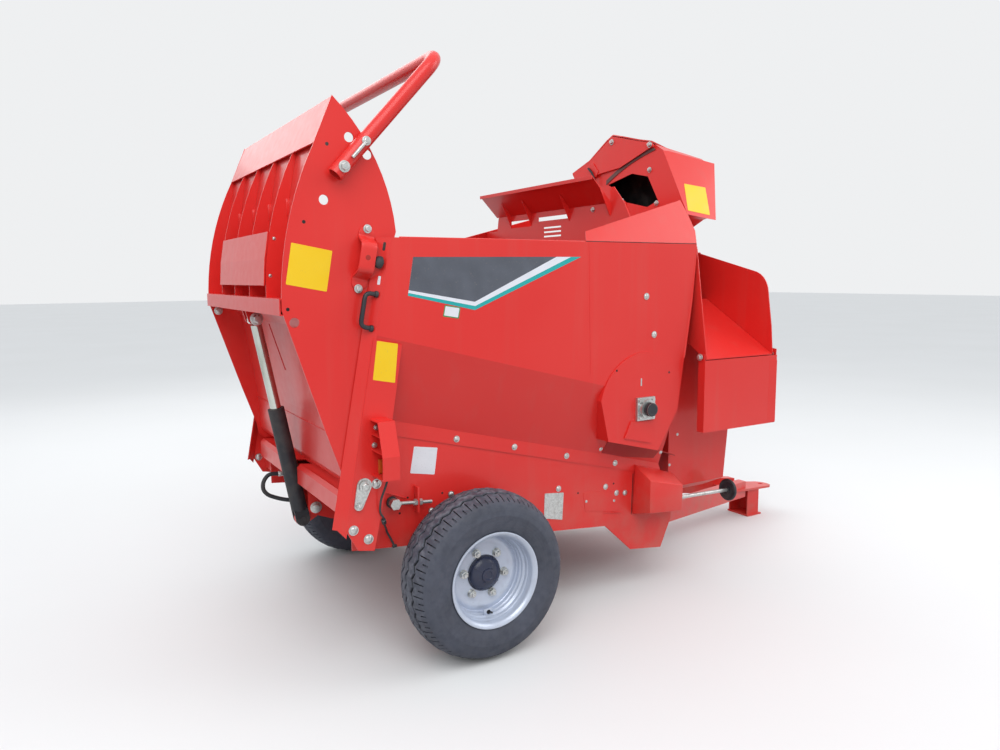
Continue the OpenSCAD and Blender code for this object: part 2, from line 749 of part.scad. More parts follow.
module chute_duct() {
  left_y = 200;
  // Rear plate, and the front plate under the falling roof
  rear = [
    [-672, 1965], [-483, 2311], [-421, 2350], [-330, 2345], [-310, 2358], [-78, 2418], [120, 2306], [left_y, 2262],
    [left_y, fan_roof], [-260, fan_roof], [-600, 1950]
  ];
  front = [
    [-667, 1965], [-497, 2280], [-421, 2290], [-330, 2286], [-78, 2358], [120, 2246], [left_y, 2202],
    [left_y, fan_roof], [-260, fan_roof], [-600, 1950]
  ];
  opening = [[-30, 2180], [-236, 2220], [-367, 2190], [-450, 2055], [-365, 2027], [-182, 2069]];
  // Outer panel as seen from behind and from the side
  panel = [[-684, 1943], [-483, 2311], [-479, 2309], [-680, 1941]];
  panel_side = [[chute_x0, 1966], [chute_x0, 2317], [chute_x0 + 354, 2264], [chute_x0 + 191, 1943]];
  bottom = [[-668, 1964], [-600, 1950], [-260, fan_roof], [-252, fan_roof], [-598, 1955], [-666, 1969]];
  left_wall = [[left_y - 4, fan_roof], [left_y, fan_roof], [left_y, 2202], [left_y - 4, 2204]];
  color("#e2231f") at_axle() {
    intersection() {
      along(panel, chute_x0, chute_x0 + 360);
      across(panel_side, -1000, 0);
    }
    // Strip that closes the top between the outer panel and the hood
    intersection() {
      falling(chute_fall) along([[-533, 2282], [-419, 2352], [-419, 2346], [-530, 2278]], chute_x0, chute_x0 + 350);
      along([[-684, 1943], [-430, 2408], [0, 2408], [0, 1943]], chute_x0, chute_x0 + 360);
    }
    difference() {
      along(rear, chute_x0, chute_x0 + sheet);
      along(opening, chute_x0 - 1, chute_x0 + sheet + 1);
    }
    along(front, chute_front, chute_front + sheet);
    along(bottom, chute_x0, chute_front + sheet);
    along(left_wall, chute_x0, chute_front + sheet);
    bar_x(hood_pin, hood_pin_d, chute_x0 - 22, chute_x0 + 1);
  }
}

module chute_strap() {
  strap = concat(
    bow([-18, 2206], [-412, 2335], -18, 8),
    bow([-428, 2322], [-18, 2180], 18, 8)
  );
  color("#5b4a46") at_axle() along(strap, chute_x0 - 4.3, chute_x0 - eps);
}

module chute_hood() {
  x0 = chute_x0 - 14;
  top = [
    [-410, 2366], [-310, 2388], [-78, 2449], [129, 2334], [296, 2281],
    [296, 2275], [127, 2328], [-78, 2443], [-309, 2382], [-409, 2360]
  ];
  cheek = [
    [-418, 2340], [-409, 2361], [-310, 2383], [-78, 2444], [128, 2329], [296, 2276], [255, 2215], [20, 2250],
    [-150, 2262], [-380, 2332]
  ];
  color("#e2231f") at_axle() {
    intersection() {
      falling(hood_fall) along(top, x0 - 20, chute_front + 60);
      translate([x0, -1000, 2000]) cube([chute_front + 50 - x0, 2000, 700]);
    }
    difference() {
      along(cheek, x0, x0 + sheet);
      bar_x(hood_pin, hood_pin_d + 2 * fit, x0 - 1, x0 + sheet + 1);
    }
  }
}

// Drawbar and driveline

// Adjusting rod that comes forward out of the drive box, with its handwheel
adjuster_y = 55 - body_y;
adjuster_from = [1205, 490];
adjuster_to = [1640, 473];
adjuster_d = 20;
adjuster_len = norm(adjuster_to - adjuster_from);

module at_adjuster() {
  way = adjuster_to - adjuster_from;
  translate([adjuster_from[0], adjuster_y, adjuster_from[1]]) rotate([0, 90 + atan2(-way[1], way[0]), 0]) children();
}

module drive_box() {
  color("#d81e22") at_axle()
    difference() {
      on_side(-1)
        hull() {
          across([[930, 700], [1250, 612], [1258, 425], [918, 440]], chassis_y + sheet + eps, chassis_y + sheet + 1);
          across([[1000, 622], [1225, 570], [1225, 430], [1000, 442]], body_y - 1, body_y);
        }
      at_adjuster() translate([0, 0, -1]) cylinder(h = 100, d = adjuster_d + 2 * fit);
    }
}

module adjuster() {
  color("#b7babd") at_axle() at_adjuster() cylinder(h = adjuster_len, d = adjuster_d);
}

module handwheel() {
  color("#1d1f24") at_axle() at_adjuster() translate([0, 0, adjuster_len - 30])
    difference() {
      union() {
        rotate_extrude() translate([52, 12]) circle(d = 18);
        translate([0, 0, 6]) cylinder(h = 10, d = 100);
        cylinder(h = 26, d = 40);
      }
      translate([0, 0, -1]) cylinder(h = 30, d = adjuster_d + 2 * fit);
    }
}

nose_r = 66;
nose_plate = 14;

module drawbar() {
  plate_z = 436;
  eye_x = nose_x - nose_r * cos(lean) - nose_plate * sin(lean);
  color("#d81e22") at_axle() {
    for (side = [-1, 1])
      on_side(side)
        hull() {
          across([[1180, 250], [1180, 250 + beam_h], [1190, 250 + beam_h], [1190, 250]], 420, 420 + beam_w);
          across([[2480, 145], [2480, 145 + beam_h], [2490, 144 + beam_h], [2490, 144]], 20, 20 + beam_w);
        }
    translate([1120, chassis_sheet - chassis_y, 240]) cube([60, 2 * (chassis_y - chassis_sheet), beam_h]);
    difference() {
      hull() {
        translate([2330, 0, leaning(2330, plate_z)]) rotate([0, lean, 0]) translate([0, -130, 0])
          cube([10, 260, nose_plate]);
        translate([eye_x, 0, leaning(eye_x, plate_z)]) rotate([0, lean, 0]) cylinder(h = nose_plate, r = nose_r);
      }
      translate([eye_x, 0, leaning(eye_x, plate_z)]) rotate([0, lean, 0])
        translate([0, 0, -50]) cylinder(h = 100, d = hitch_d);
    }
    // Skid foot
    translate([2508, -foot_w / 2, 0]) cube([135, foot_w, 10]);
    for (side = [-1, 1])
      on_side(side)
        across([[2512, 9], [2622, 9], [2622, leaning(2622, plate_z + 4)], [2512, leaning(2512, plate_z + 4)]],
          foot_w / 2 - 16, foot_w / 2 - 8);
    translate([2614, 8 - foot_w / 2, 9]) cube([8, foot_w - 16, leaning(2622, plate_z) - 6]);
  }
}

// Tailgate

// The plate's front edge stays behind the sloping hopper sides; its foot is round about the pivot
gate_foot = 60;
gate_outline = concat(
  bow([-337, 1837], [-585, 2339], -52, 10),
  [[-660, 2164]],
  bow([-662, 2158], [-808, 1533], -37, 10),
  [[-659, 1063], [-590, 860]],
  ring(pivot, gate_foot, 180, 360, 10),
  [[-470, 900], [-506, 1180], [-500, 1300], [-400, 1640]]
);
gate_holes = [[-523, 2190], [-631, 1950], [-451, 2130], [-762, 1487]];

module gate_side_plate(side) {
  color("#e2231f") at_axle() on_side(side)
    difference() {
      across(gate_outline, gate_y - gate_side, gate_y);
      bar_y(pivot, pivot_d + 2 * fit, gate_y - 20, gate_y + 20);
      for (h = gate_holes)
        bar_y(h, 38, gate_y - 20, gate_y + 20);
    }
}

// Cap plate at the top, from its rear edge up to the plates' tips
cap_low = [-662, 2160];
cap_high = [-585, 2336];
skin_line = concat(
  [[-619.4, 2240]],
  bow([-640, 2170], [-700, 1560], -25, 8),
  [[-640, 1450], [-580, 1057], [-566, 838], [-552, 812]]
);

module gate_skin_panel() {
  front = [for (i = [len(skin_line) - 1:-1:0]) skin_line[i] + [gate_skin, 0]];
  color("#d81e22") at_axle() across(concat(skin_line, front), gate_side - gate_y, gate_y - gate_side);
}

crossbar_high = 1578;
crossbar_low = 1514;
crossbar_w = 63;
cheek_gap = 110;
base_pin_d = 30;
lug_w = 27;

module gate_frame() {
  inner = gate_y - gate_side;
  back = bow([-664, 2152], [-792, crossbar_high - 1], -34, 8);
  rib = concat(
    [for (i = [0:8]) skin_line[i]], [[-704, crossbar_high - 1]],
    [for (i = [8:-1:0]) back[i]], [[-655, 2160]]
  );
  color("#d81e22") at_axle() {
    across([cap_low, cap_high, cap_high + [5.5, -2.4], cap_low + [5.5, -2.4]], -inner, inner);
    difference() {
      translate([-tail_x, -inner, crossbar_low]) cube([crossbar_w, 2 * inner, crossbar_high - crossbar_low]);
      translate([sheet - tail_x, -inner - 1, crossbar_low + sheet])
        cube([crossbar_w - 2 * sheet, 2 * inner + 2, crossbar_high - crossbar_low - 2 * sheet]);
    }
    for (k = [-1.5, -0.5, 0.5, 1.5])
      across([for (p = rib) p - [0.3, 0]], k * rib_pitch - rib_t / 2, k * rib_pitch + rib_t / 2);
    for (side = [-1, 1])
      on_side(side)
        across([[-790, crossbar_low + 1], [-752, crossbar_low + 1], [-714, 1480], [-716, 1455], [-741, 1438], [-775, 1460]],
          eye_gap / 2, eye_gap / 2 + 10);
  }
}

module gate_badge_plate() {
  face = [[-769, 1842], [-787, 1733], [-795, 1626]];
  color("#e2231f") at_axle()
    across(concat(face, [[-800, 1626], [-792, 1733], [-774, 1842]]), -1.5 * rib_pitch, 1.5 * rib_pitch);
}

// x is counted forward from the post's rear edge, z along it
module at_post() {
  at_axle() translate([post_at(0), 0, 0]) rotate([0, post_slope, 0]) children();
}

// Hat-shaped striker on the right side plate, its rubber buffer and the grab handle on the post

module gate_striker() {
  y = gate_y;
  hat = [
    [y, 1626], [y, 1672], [y + 54, 1698], [y + 54, 1798], [y, 1824], [y, 1868], [y + 6, 1868], [y + 6, 1830],
    [y + 60, 1804], [y + 60, 1692], [y + 6, 1666], [y + 6, 1626]
  ];
  color("#e2231f") on_side(-1)
    difference() {
      at_post() along(hat, -112, -48);
      at_post() bar_y([-80, 1748], 18, gate_y + 30, gate_y + 80);
    }
}

module gate_buffer() {
  y = body_y - 22;
  color("#17181b") on_side(-1) at_post()
    difference() {
      union() {
        bar_x([y, 1748], 34, eps - 48, 0);
        bar_x([y, 1748], 44, -42, -34);
      }
      post_flange_space();
    }
}

// What lies in front of the rear face of the post's flange
module post_flange_space() {
  translate([-eps, 0, 1000])
    linear_extrude(1200)
      polygon([[0, body_y], [-40, body_y - post_flange], [-40, body_y - 155], [190, body_y - 155], [190, body_y + 50], [0, body_y + 50]]);
}

module grab_handle() {
  y = body_y - 34;
  color("#17181b") on_side(-1) at_post()
    difference() {
      union() {
        for (z = [1500, 1610])
          translate([-78, y - 9, z]) cube([70, 18, 18]);
        translate([-78, y - 9, 1500]) cube([18, 18, 128]);
      }
      post_flange_space();
    }
}

// Hoop over the bale: two legs on the side plates and a bar across

module bale_hoop() {
  y = gate_y + hoop_d / 2 + eps;
  low = [-594, 2041];
  high = [-142, 2540];
  way = high - low;
  rise = atan2(way[1], way[0]);
  bend = 90;
  color("#e2231f") at_axle()
    translate([low[0], 0, low[1]]) rotate([0, -rise, 0]) {
      for (side = [-1, 1])
        on_side(side) {
          difference() {
            bar_x([y, 0], hoop_d, 0, norm(way) - bend);
            bar_x([y, 0], hoop_d - 2 * hoop_wall, -1, 160);
          }
          translate([norm(way) - bend, y - bend, 0]) rotate_extrude(angle = 90) translate([bend, 0]) circle(d = hoop_d);
        }
      translate([norm(way), y - bend, 0]) rotate([90, 0, 0]) cylinder(h = 2 * (y - bend), d = hoop_d);
    }
}

// Lift cylinder in the middle plane, its barrel on the rear sill and its rod on the tailgate

cyl_way = cyl_eye - cyl_base;
cyl_len = norm(cyl_way);
cyl_tilt = atan2(cyl_way[0], cyl_way[1]);
eye_gap = eye_w + 6;
rod_shows = 431;
// Inner end of the rod from the barrel's pin
rod_foot = 450;

module along_cylinder() {
  at_axle() translate([cyl_base[0], 0, cyl_base[1]]) rotate([0, cyl_tilt, 0]) children();
}

module lift_barrel() {
  ear = 16;
  floor_z = 45;
  color("#1b1c20") along_cylinder() {
    difference() {
      translate([0, 0, floor_z]) cylinder(h = cyl_len - rod_shows - floor_z, d = barrel_d);
      translate([0, 0, floor_z + 30]) cylinder(h = cyl_len, d = rod_d + 2 * fit);
    }
    // Fork with the pin that turns in the lug
    for (side = [-1, 1])
      on_side(side) translate([0, lug_w / 2 + 0.5, 0]) {
        rotate([-90, 0, 0]) cylinder(h = ear, d = 66);
        translate([-33, 0, 0]) cube([66, ear, floor_z + 5]);
      }
    rotate([90, 0, 0]) translate([0, 0, -lug_w / 2 - ear - 6]) cylinder(h = lug_w + 2 * ear + 12, d = base_pin_d);
  }
}

module lift_rod() {
  color("#c8cacc") along_cylinder() {
    translate([0, 0, rod_foot]) cylinder(h = cyl_len - rod_foot - eye_d / 2 + 3, d = rod_d);
    translate([0, 0, cyl_len]) rotate([90, 0, 0]) {
      translate([0, 0, -eye_w / 2]) cylinder(h = eye_w, d = eye_d);
      translate([0, 0, eps - eye_gap / 2]) cylinder(h = eye_gap - 2 * eps, d = base_pin_d);
    }
  }
}

// Lamps and bed tensioners

module lamp_guard(side) {
  y0 = body_y + eps;
  rear = -490;
  front = -418;
  shell = [[y0, 1095], [y0 + 75, 1095], [y0 + 117, 960], [y0 + 115, 866], [y0, 866]];
  inside = [[y0 - 1, 1091], [y0 + 71.5, 1091], [y0 + 113, 959.5], [y0 + 111, 870], [y0 - 1, 870]];
  color("#e2231f") at_axle() on_side(side) {
    difference() {
      along(shell, rear, front);
      along(inside, rear - 1, front - 4);
    }
    // Shelves between the lamps
    for (z = [970, 1034])
      intersection() {
        along(shell, rear, front);
        translate([rear + 2, y0, z]) cube([front - rear - 4, 130, 4]);
      }
  }
}

module bed_tensioner(side) {
  bolt = [-358, 706];
  rod_y = chassis_y + 30;
  tab = -253;
  color("#b7babd") at_axle() on_side(side) {
    bar_y(bolt, 40, chassis_y, chassis_y + 36);
    translate([bolt[0], chassis_y + 36, bolt[1]]) rotate([-90, 0, 0]) cylinder(h = 14, d = 50, $fn = 6);
    translate([bolt[0] - 7, rod_y, bolt[1] + 1]) rotate([0, 90 + lean, 0]) {
      cylinder(h = 182, d = 16);
      translate([0, 0, 97]) cylinder(h = 14, d = 30, $fn = 6);
      translate([0, 0, 121]) cylinder(h = 14, d = 30, $fn = 6);
    }
    translate([tab, chassis_y, 650]) cube([8, 39, 112]);
  }
}

// Cords

function unit(v) = v / norm(v);
// A smooth way through the points of a route, with steps stretches between each two
function smooth_way(p, steps = 3) = concat(
  [for (i = [0:len(p) - 2]) let (a = p[max(i - 1, 0)], b = p[i], c = p[i + 1], d = p[min(i + 2, len(p) - 1)])
    for (k = [0:steps - 1]) let (t = k / steps)
      0.5 * (2 * b + (c - a) * t + (2 * a - 5 * b + 4 * c - d) * t * t + (3 * b - a - 3 * c + d) * t * t * t)],
  [p[len(p) - 1]]
);

// A round cord along a route; up never lies along the route
module cord(route, d, up, sides = 10) {
  p = smooth_way(route);
  n = len(p);
  skin = [for (i = [0:n - 1])
    let (t = unit(p[min(i + 1, n - 1)] - p[max(i - 1, 0)]), u = unit(cross(t, up)), v = cross(t, u))
      for (k = [0:sides - 1]) p[i] + d / 2 * (u * cos(360 * k / sides) + v * sin(360 * k / sides))];
  faces = concat(
    [[for (k = [0:sides - 1]) k]],
    [for (i = [0:n - 2]) for (k = [0:sides - 1]) let (m = (k + 1) % sides)
      [i * sides + k, (i + 1) * sides + k, (i + 1) * sides + m, i * sides + m]],
    [[for (k = [sides - 1:-1:0]) (n - 1) * sides + k]]
  );
  polyhedron(skin, faces);
}

module cylinder_hose() {
  color("#141519") at_axle() cord(hose_path, hose_d, [0, 1, 0]);
}

module lamp_cable() {
  color("#141519") at_axle() cord(cable_path, cable_d, [1, 0.4, 0]);
}

axle();
hub(-1);  // hub_right
hub(1);  // hub_left
rim(-1);  // rim_right
rim(1);  // rim_left
tyre(-1);  // tyre_right
tyre(1);  // tyre_left
chassis_side(-1);  // chassis_side_right
chassis_side(1);  // chassis_side_left
rear_sill();
rear_post(-1);  // rear_post_right
rear_post(1);  // rear_post_left
hopper(-1);  // hopper_right
hopper(1);  // hopper_left
floor_deck();
floor_slats();
front_wall();
deflector_hood();
rotor_trough();
rotor();
rotor_cover(-1);  // rotor_cover_right
rotor_cover(1);  // rotor_cover_left
rotor_bearing(-1);  // rotor_bearing_right
rotor_bearing(1);  // rotor_bearing_left
shoulder(-1);  // shoulder_right
shoulder(1);  // shoulder_left
top_deck();
fan_rear_plate();
fan_shell();
fan_front_plate();
fan();
gearbox();
outlet_ramp();
outlet_flap();
chute_duct();
chute_strap();
chute_hood();
drive_box();
adjuster();
handwheel();
drawbar();
gate_pin(-1);  // gate_pin_right
gate_pin(1);  // gate_pin_left
gate_side_plate(-1);  // gate_side_right
gate_side_plate(1);  // gate_side_left
gate_skin_panel();
gate_frame();
gate_badge_plate();
bale_hoop();
gate_striker();
gate_buffer();
grab_handle();
lift_barrel();
lift_rod();
lamp_guard(-1);  // lamp_guard_right
lamp_guard(1);  // lamp_guard_left
bed_tensioner(-1);  // bed_tensioner_right
bed_tensioner(1);  // bed_tensioner_left
cylinder_hose();
lamp_cable();
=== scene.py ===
# Looks of the trailed bale chopper and straw blower: its paint and metal finishes, tyres, bolts,
# decal, blank labels, lamps and small fittings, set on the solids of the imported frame.
import json
from math import atan2, cos, floor, pi, radians, sin, sqrt

import bpy
from mathutils import Matrix, Vector


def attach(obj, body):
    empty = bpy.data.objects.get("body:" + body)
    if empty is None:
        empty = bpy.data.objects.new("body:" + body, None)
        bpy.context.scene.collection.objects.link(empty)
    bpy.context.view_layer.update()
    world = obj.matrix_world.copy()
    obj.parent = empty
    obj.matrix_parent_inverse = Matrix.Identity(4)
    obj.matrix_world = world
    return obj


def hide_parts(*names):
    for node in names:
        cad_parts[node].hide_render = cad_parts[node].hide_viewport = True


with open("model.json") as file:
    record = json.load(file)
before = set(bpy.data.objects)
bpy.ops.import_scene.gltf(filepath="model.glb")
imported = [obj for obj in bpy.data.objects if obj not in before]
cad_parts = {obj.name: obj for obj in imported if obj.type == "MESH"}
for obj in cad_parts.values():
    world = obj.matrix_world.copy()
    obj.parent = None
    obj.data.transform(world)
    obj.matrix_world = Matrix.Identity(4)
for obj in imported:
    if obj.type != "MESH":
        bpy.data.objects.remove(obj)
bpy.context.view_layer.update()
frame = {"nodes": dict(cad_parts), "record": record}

# The wheels, in metres
AXLE = -0.9925  # place along X
WHEEL_HEIGHT = 0.370
TRACK_HALF = 0.785

# The body, in millimetres; widths are counted from the middle plane
HALF_BODY = 755  # outer face of the upper side panels
HALF_CHASSIS = 635  # outer face of the chassis plates
HALF_GATE = 700  # outer face of the tailgate's side plates
COVER_FACE = HALF_BODY + 5.3  # outer face of the rotor covers
BEARING_FACE = 774.3  # outer face of the rotor bearings' flanges
ROTOR_X, ROTOR_Z = 945, 1005  # the rotor's axle
POST_SLOPE = radians(10.8)  # slant of the body's rear edge and its posts
POST_FOOT = -730.7  # where that edge would meet the ground

SIDES = {-1: "right", 1: "left"}
UP = Vector((0, 0, 1))
RIGHTWARD = Vector((0, -1, 0))
BACKWARD = Vector((-1, 0, 0))
FORWARD = Vector((1, 0, 0))
SHUT = 0.00002  # radius at which the end of a turned piece is closed


def place(x, y, z):
    """A point in millimetres, with x counted forward from the wheel axle."""
    return Vector((AXLE + x / 1000, y / 1000, z / 1000))


def places(points):
    return [place(*point) for point in points]


def on_post(x, y, z):
    """A point in millimetres, with x counted forward from the post's rear edge and z along it."""
    forward = POST_FOOT + x * cos(POST_SLOPE) + z * sin(POST_SLOPE)
    return place(forward, y, z * cos(POST_SLOPE) - x * sin(POST_SLOPE))


# A step of 1 mm to the rear, square to the posts' edge
OFF_POST = on_post(-1, 0, 0) - on_post(0, 0, 0)


def cover_slant(side):
    """The way that the slanting lower edge of a rotor cover faces."""
    return (-0.08, side * 0.94, -0.32)


# Camera

CAMERA_PLACE = (-2.5935, -3.585, 1.653)
CAMERA_YAW = radians(31.214)
CAMERA_PITCH = radians(7.280)
CAMERA_ROLL = radians(0.394)
SENSOR_WIDTH = 36
LENS = 27.55


def photo_camera():
    """The camera at the photograph's place, angle and lens."""
    level_share = cos(CAMERA_PITCH)
    ahead = Vector((sin(CAMERA_YAW) * level_share, cos(CAMERA_YAW) * level_share, -sin(CAMERA_PITCH)))
    level = Vector((cos(CAMERA_YAW), -sin(CAMERA_YAW), 0))
    down = ahead.cross(level)
    right = level * cos(CAMERA_ROLL) + down * sin(CAMERA_ROLL)
    up = level * sin(CAMERA_ROLL) - down * cos(CAMERA_ROLL)
    turn = Matrix((right, up, -ahead)).transposed().to_4x4()
    bpy.ops.object.camera_add()
    camera = bpy.context.object
    camera.matrix_world = Matrix.Translation(CAMERA_PLACE) @ turn
    camera.data.sensor_width = SENSOR_WIDTH
    camera.data.lens = LENS
    bpy.context.scene.camera = camera


# Finishes


def shade(code):
    """Linear colour of a six-digit screen colour."""
    parts = [int(code[i : i + 2], 16) / 255 for i in (0, 2, 4)]
    return tuple(c / 12.92 if c <= 0.04045 else ((c + 0.055) / 1.055) ** 2.4 for c in parts)


def add_node(tree, kind, inputs, **settings):
    """A new node of a tree; each of its inputs gets a value, or a link from a socket."""
    made = tree.nodes.new(kind)
    for key, value in settings.items():
        setattr(made, key, value)
    for key, value in inputs.items():
        if isinstance(value, bpy.types.NodeSocket):
            tree.links.new(value, made.inputs[key])
        else:
            made.inputs[key].default_value = value
    return made


def larger_of(tree, first, second):
    return add_node(tree, "ShaderNodeMath", {0: first, 1: second}, operation="MAXIMUM").outputs["Value"]


def seen_directly(tree):
    """1 for what the camera sees, by itself or in a mirror or glass, and 0 for the light that it gives."""
    ray = add_node(tree, "ShaderNodeLightPath", {}).outputs
    mirrored = larger_of(tree, ray["Is Glossy Ray"], ray["Is Transmission Ray"])
    return larger_of(tree, ray["Is Camera Ray"], mirrored)


class Finish:
    """A material with its pattern nodes; each method returns the socket that carries the result."""

    def __init__(self, name, colour, roughness, metallic=0.0, coat=0.0, coat_roughness=0.1):
        self.material = bpy.data.materials.new(name)
        self.material.use_nodes = True
        self.tree = self.material.node_tree
        self.shader = self.tree.nodes["Principled BSDF"]
        self.set("Base Color", (*colour, 1))
        self.set("Roughness", roughness)
        self.set("Metallic", metallic)
        self.set("Coat Weight", coat)
        self.set("Coat Roughness", coat_roughness)

    def set(self, socket, value):
        self.shader.inputs[socket].default_value = value

    def feed(self, socket, source):
        self.tree.links.new(source, self.shader.inputs[socket])

    def add(self, kind, inputs, **settings):
        return add_node(self.tree, kind, inputs, **settings)

    def where(self, scale=(1, 1, 1), shift=(0, 0, 0)):
        """Object coordinates, moved and then stretched."""
        found = self.add("ShaderNodeTexCoord", {}).outputs["Object"]
        moved = self.add("ShaderNodeMapping", {"Vector": found, "Location": shift}).outputs["Vector"]
        return self.add("ShaderNodeMapping", {"Vector": moved, "Scale": scale}).outputs["Vector"]

    def clouds(self, scale, detail, vector=None):
        vector = vector or self.where()
        inputs = {"Vector": vector, "Scale": scale, "Detail": detail}
        return self.add("ShaderNodeTexNoise", inputs).outputs["Fac"]

    def cells(self, scale):
        return self.add("ShaderNodeTexVoronoi", {"Vector": self.where(), "Scale": scale}).outputs["Color"]

    def spread(self, value, low, high, start=0.0, end=1.0):
        """A value between low and high, mapped to start and end."""
        inputs = {"Value": value, "From Min": low, "From Max": high, "To Min": start, "To Max": end}
        return self.add("ShaderNodeMapRange", inputs).outputs["Result"]

    def combined(self, operation, first, second):
        return self.add("ShaderNodeMath", {0: first, 1: second}, operation=operation).outputs["Value"]

    def times(self, first, second):
        return self.combined("MULTIPLY", first, second)

    def square(self, value):
        return self.combined("POWER", value, 2.0)

    def height(self):
        return self.add("ShaderNodeSeparateXYZ", {"Vector": self.where()}).outputs["Z"]

    def mixed(self, amount, first, second):
        made = self.add("ShaderNodeMix", {0: amount}, data_type="RGBA")
        for socket, value in ((made.inputs[6], first), (made.inputs[7], second)):
            if isinstance(value, bpy.types.NodeSocket):
                self.tree.links.new(value, socket)
            else:
                socket.default_value = (*value, 1)
        return made.outputs[2]

    def bump(self, value, strength, distance=0.001):
        made = self.add("ShaderNodeBump", {"Height": value, "Strength": strength, "Distance": distance})
        self.feed("Normal", made.outputs["Normal"])


DUST = shade("9c8d7d")


def painted_sheet(name, colour, faded, dust=0.35, roughness=0.30, coat=0.16):
    """Powder-coated sheet: soft fading, faint rain streaks, road dust low down and a slight orange peel."""
    made = Finish(name, colour, roughness, coat=coat)
    made.set("Specular IOR Level", 0.40)
    patches = made.spread(made.clouds(1.4, 3), 0.36, 0.74, 0.0, 0.6)
    base = made.mixed(patches, colour, faded)
    low = made.spread(made.height(), 0.80, 0.15)
    grit = made.spread(made.clouds(9, 7), 0.40, 0.72, 0.05, 1.0)
    dusty = made.times(made.times(low, grit), dust)
    streaks = made.clouds(1.0, 6, made.where((16, 16, 0.9)))
    washed = made.spread(streaks, 0.55, 0.82, 0.0, 0.07)
    specks = made.spread(made.clouds(170, 2), 0.72, 0.80, 0.0, 0.16)
    base = made.mixed(made.combined("MAXIMUM", washed, specks), base, DUST)
    made.feed("Base Color", made.mixed(dusty, base, DUST))
    dulled = made.combined("ADD", dusty, made.times(made.clouds(24, 5), 0.35))
    made.feed("Roughness", made.spread(dulled, 0.10, 1.1, roughness, 0.70))
    made.bump(made.clouds(260, 3), 0.03)
    return made.material


def zinc(name, colour, roughness):
    """Galvanised or plated steel with its faint crystal pattern and stains."""
    made = Finish(name, colour, roughness, metallic=0.85)
    grey = made.add("ShaderNodeRGBToBW", {"Color": made.cells(150)}).outputs["Val"]
    darker = tuple(c * 0.62 for c in colour)
    tone = made.mixed(made.spread(grey, 0.2, 0.8, 0.0, 0.5), colour, darker)
    stains = made.spread(made.clouds(30, 6), 0.55, 0.75, 0.0, 0.35)
    made.feed("Base Color", made.mixed(stains, tone, shade("6d5f50")))
    made.feed("Roughness", made.spread(grey, 0, 1, roughness - 0.08, roughness + 0.14))
    made.bump(made.clouds(300, 3), 0.06)
    return made.material


def worn_steel():
    """Bare steel of the rotor, the bed and the fan, with rust in patches."""
    made = Finish("worn steel with rust", shade("7c7873"), 0.45, metallic=0.75)
    rust = made.spread(made.clouds(14, 8), 0.48, 0.66)
    made.feed("Base Color", made.mixed(rust, shade("8a8580"), shade("6b4630")))
    made.feed("Roughness", made.spread(rust, 0, 1, 0.35, 0.85))
    made.bump(made.clouds(120, 6), 0.2, 0.002)
    return made.material


def chromed_rod():
    """Chrome with a thin film of oil and dust, and fine marks round the rod."""
    made = Finish("chromed rod", shade("b9bdb4"), 0.16, metallic=1.0)
    film = made.spread(made.clouds(18, 6, made.where((1, 1, 0.25))), 0.42, 0.7, 0.0, 0.6)
    made.feed("Base Color", made.mixed(film, shade("c3c6bf"), shade("7b7f68")))
    made.feed("Roughness", made.spread(film, 0, 0.6, 0.12, 0.42))
    made.bump(made.clouds(90, 3, made.where((1, 1, 8))), 0.02)
    return made.material


def silver_rim():
    """Silver lacquer on a pressed rim, with brake dust and mud in its corners."""
    made = Finish("silver rim lacquer", shade("bcc4d4"), 0.36, metallic=0.30, coat=0.2, coat_roughness=0.2)
    grime = made.spread(made.clouds(16, 7), 0.55, 0.8, 0.0, 0.35)
    base = made.mixed(grime, shade("c0c8d8"), shade("959aa4"))
    specks = made.spread(made.clouds(120, 3), 0.68, 0.76, 0.0, 0.35)
    made.feed("Base Color", made.mixed(specks, base, shade("7c7468")))
    made.feed("Roughness", made.spread(grime, 0, 0.6, 0.30, 0.62))
    made.bump(made.clouds(220, 3), 0.05)
    return made.material


def tread_rubber(side):
    """Weathered tyre rubber, greyer and dustier out on the tread than on its side walls."""
    made = Finish(f"tyre rubber {SIDES[side]}", shade("4b4f5c"), 0.72)
    centred = made.where(shift=(-AXLE, -side * TRACK_HALF, -WHEEL_HEIGHT))
    parts = made.add("ShaderNodeSeparateXYZ", {"Vector": centred}).outputs
    far = made.combined("ADD", made.square(parts["X"]), made.square(parts["Z"]))
    radius = made.combined("SQRT", far, 0.0)
    tread = made.spread(radius, 0.335, 0.366)
    earth = made.spread(made.clouds(38, 7), 0.42, 0.68)
    dusty = made.times(tread, earth)
    wall = made.mixed(made.spread(made.clouds(7, 6), 0.35, 0.7, 0.0, 0.6), shade("41444f"), shade("555967"))
    # Grooves and slits lie below the tread's curve and are darkened to near black as painted shade
    curve = made.combined("ADD", radius, made.times(made.square(parts["Y"]), 2.25))
    groove_shade = made.times(made.spread(curve, 0.3672, 0.3612), made.spread(radius, 0.3420, 0.3470))
    worn = made.mixed(dusty, wall, shade("72757f"))
    made.feed("Base Color", made.mixed(groove_shade, worn, shade("17181c")))
    made.feed("Roughness", made.spread(earth, 0, 1, 0.6, 0.88))
    outward = made.add("ShaderNodeCombineXYZ", {"X": radius}).outputs["Vector"]
    rings = made.add("ShaderNodeTexWave", {"Vector": outward, "Scale": 26.0}).outputs["Fac"]
    grain = made.combined("ADD", made.times(rings, 0.35), made.clouds(330, 3))
    made.bump(grain, 0.25, 0.0015)
    return made.material


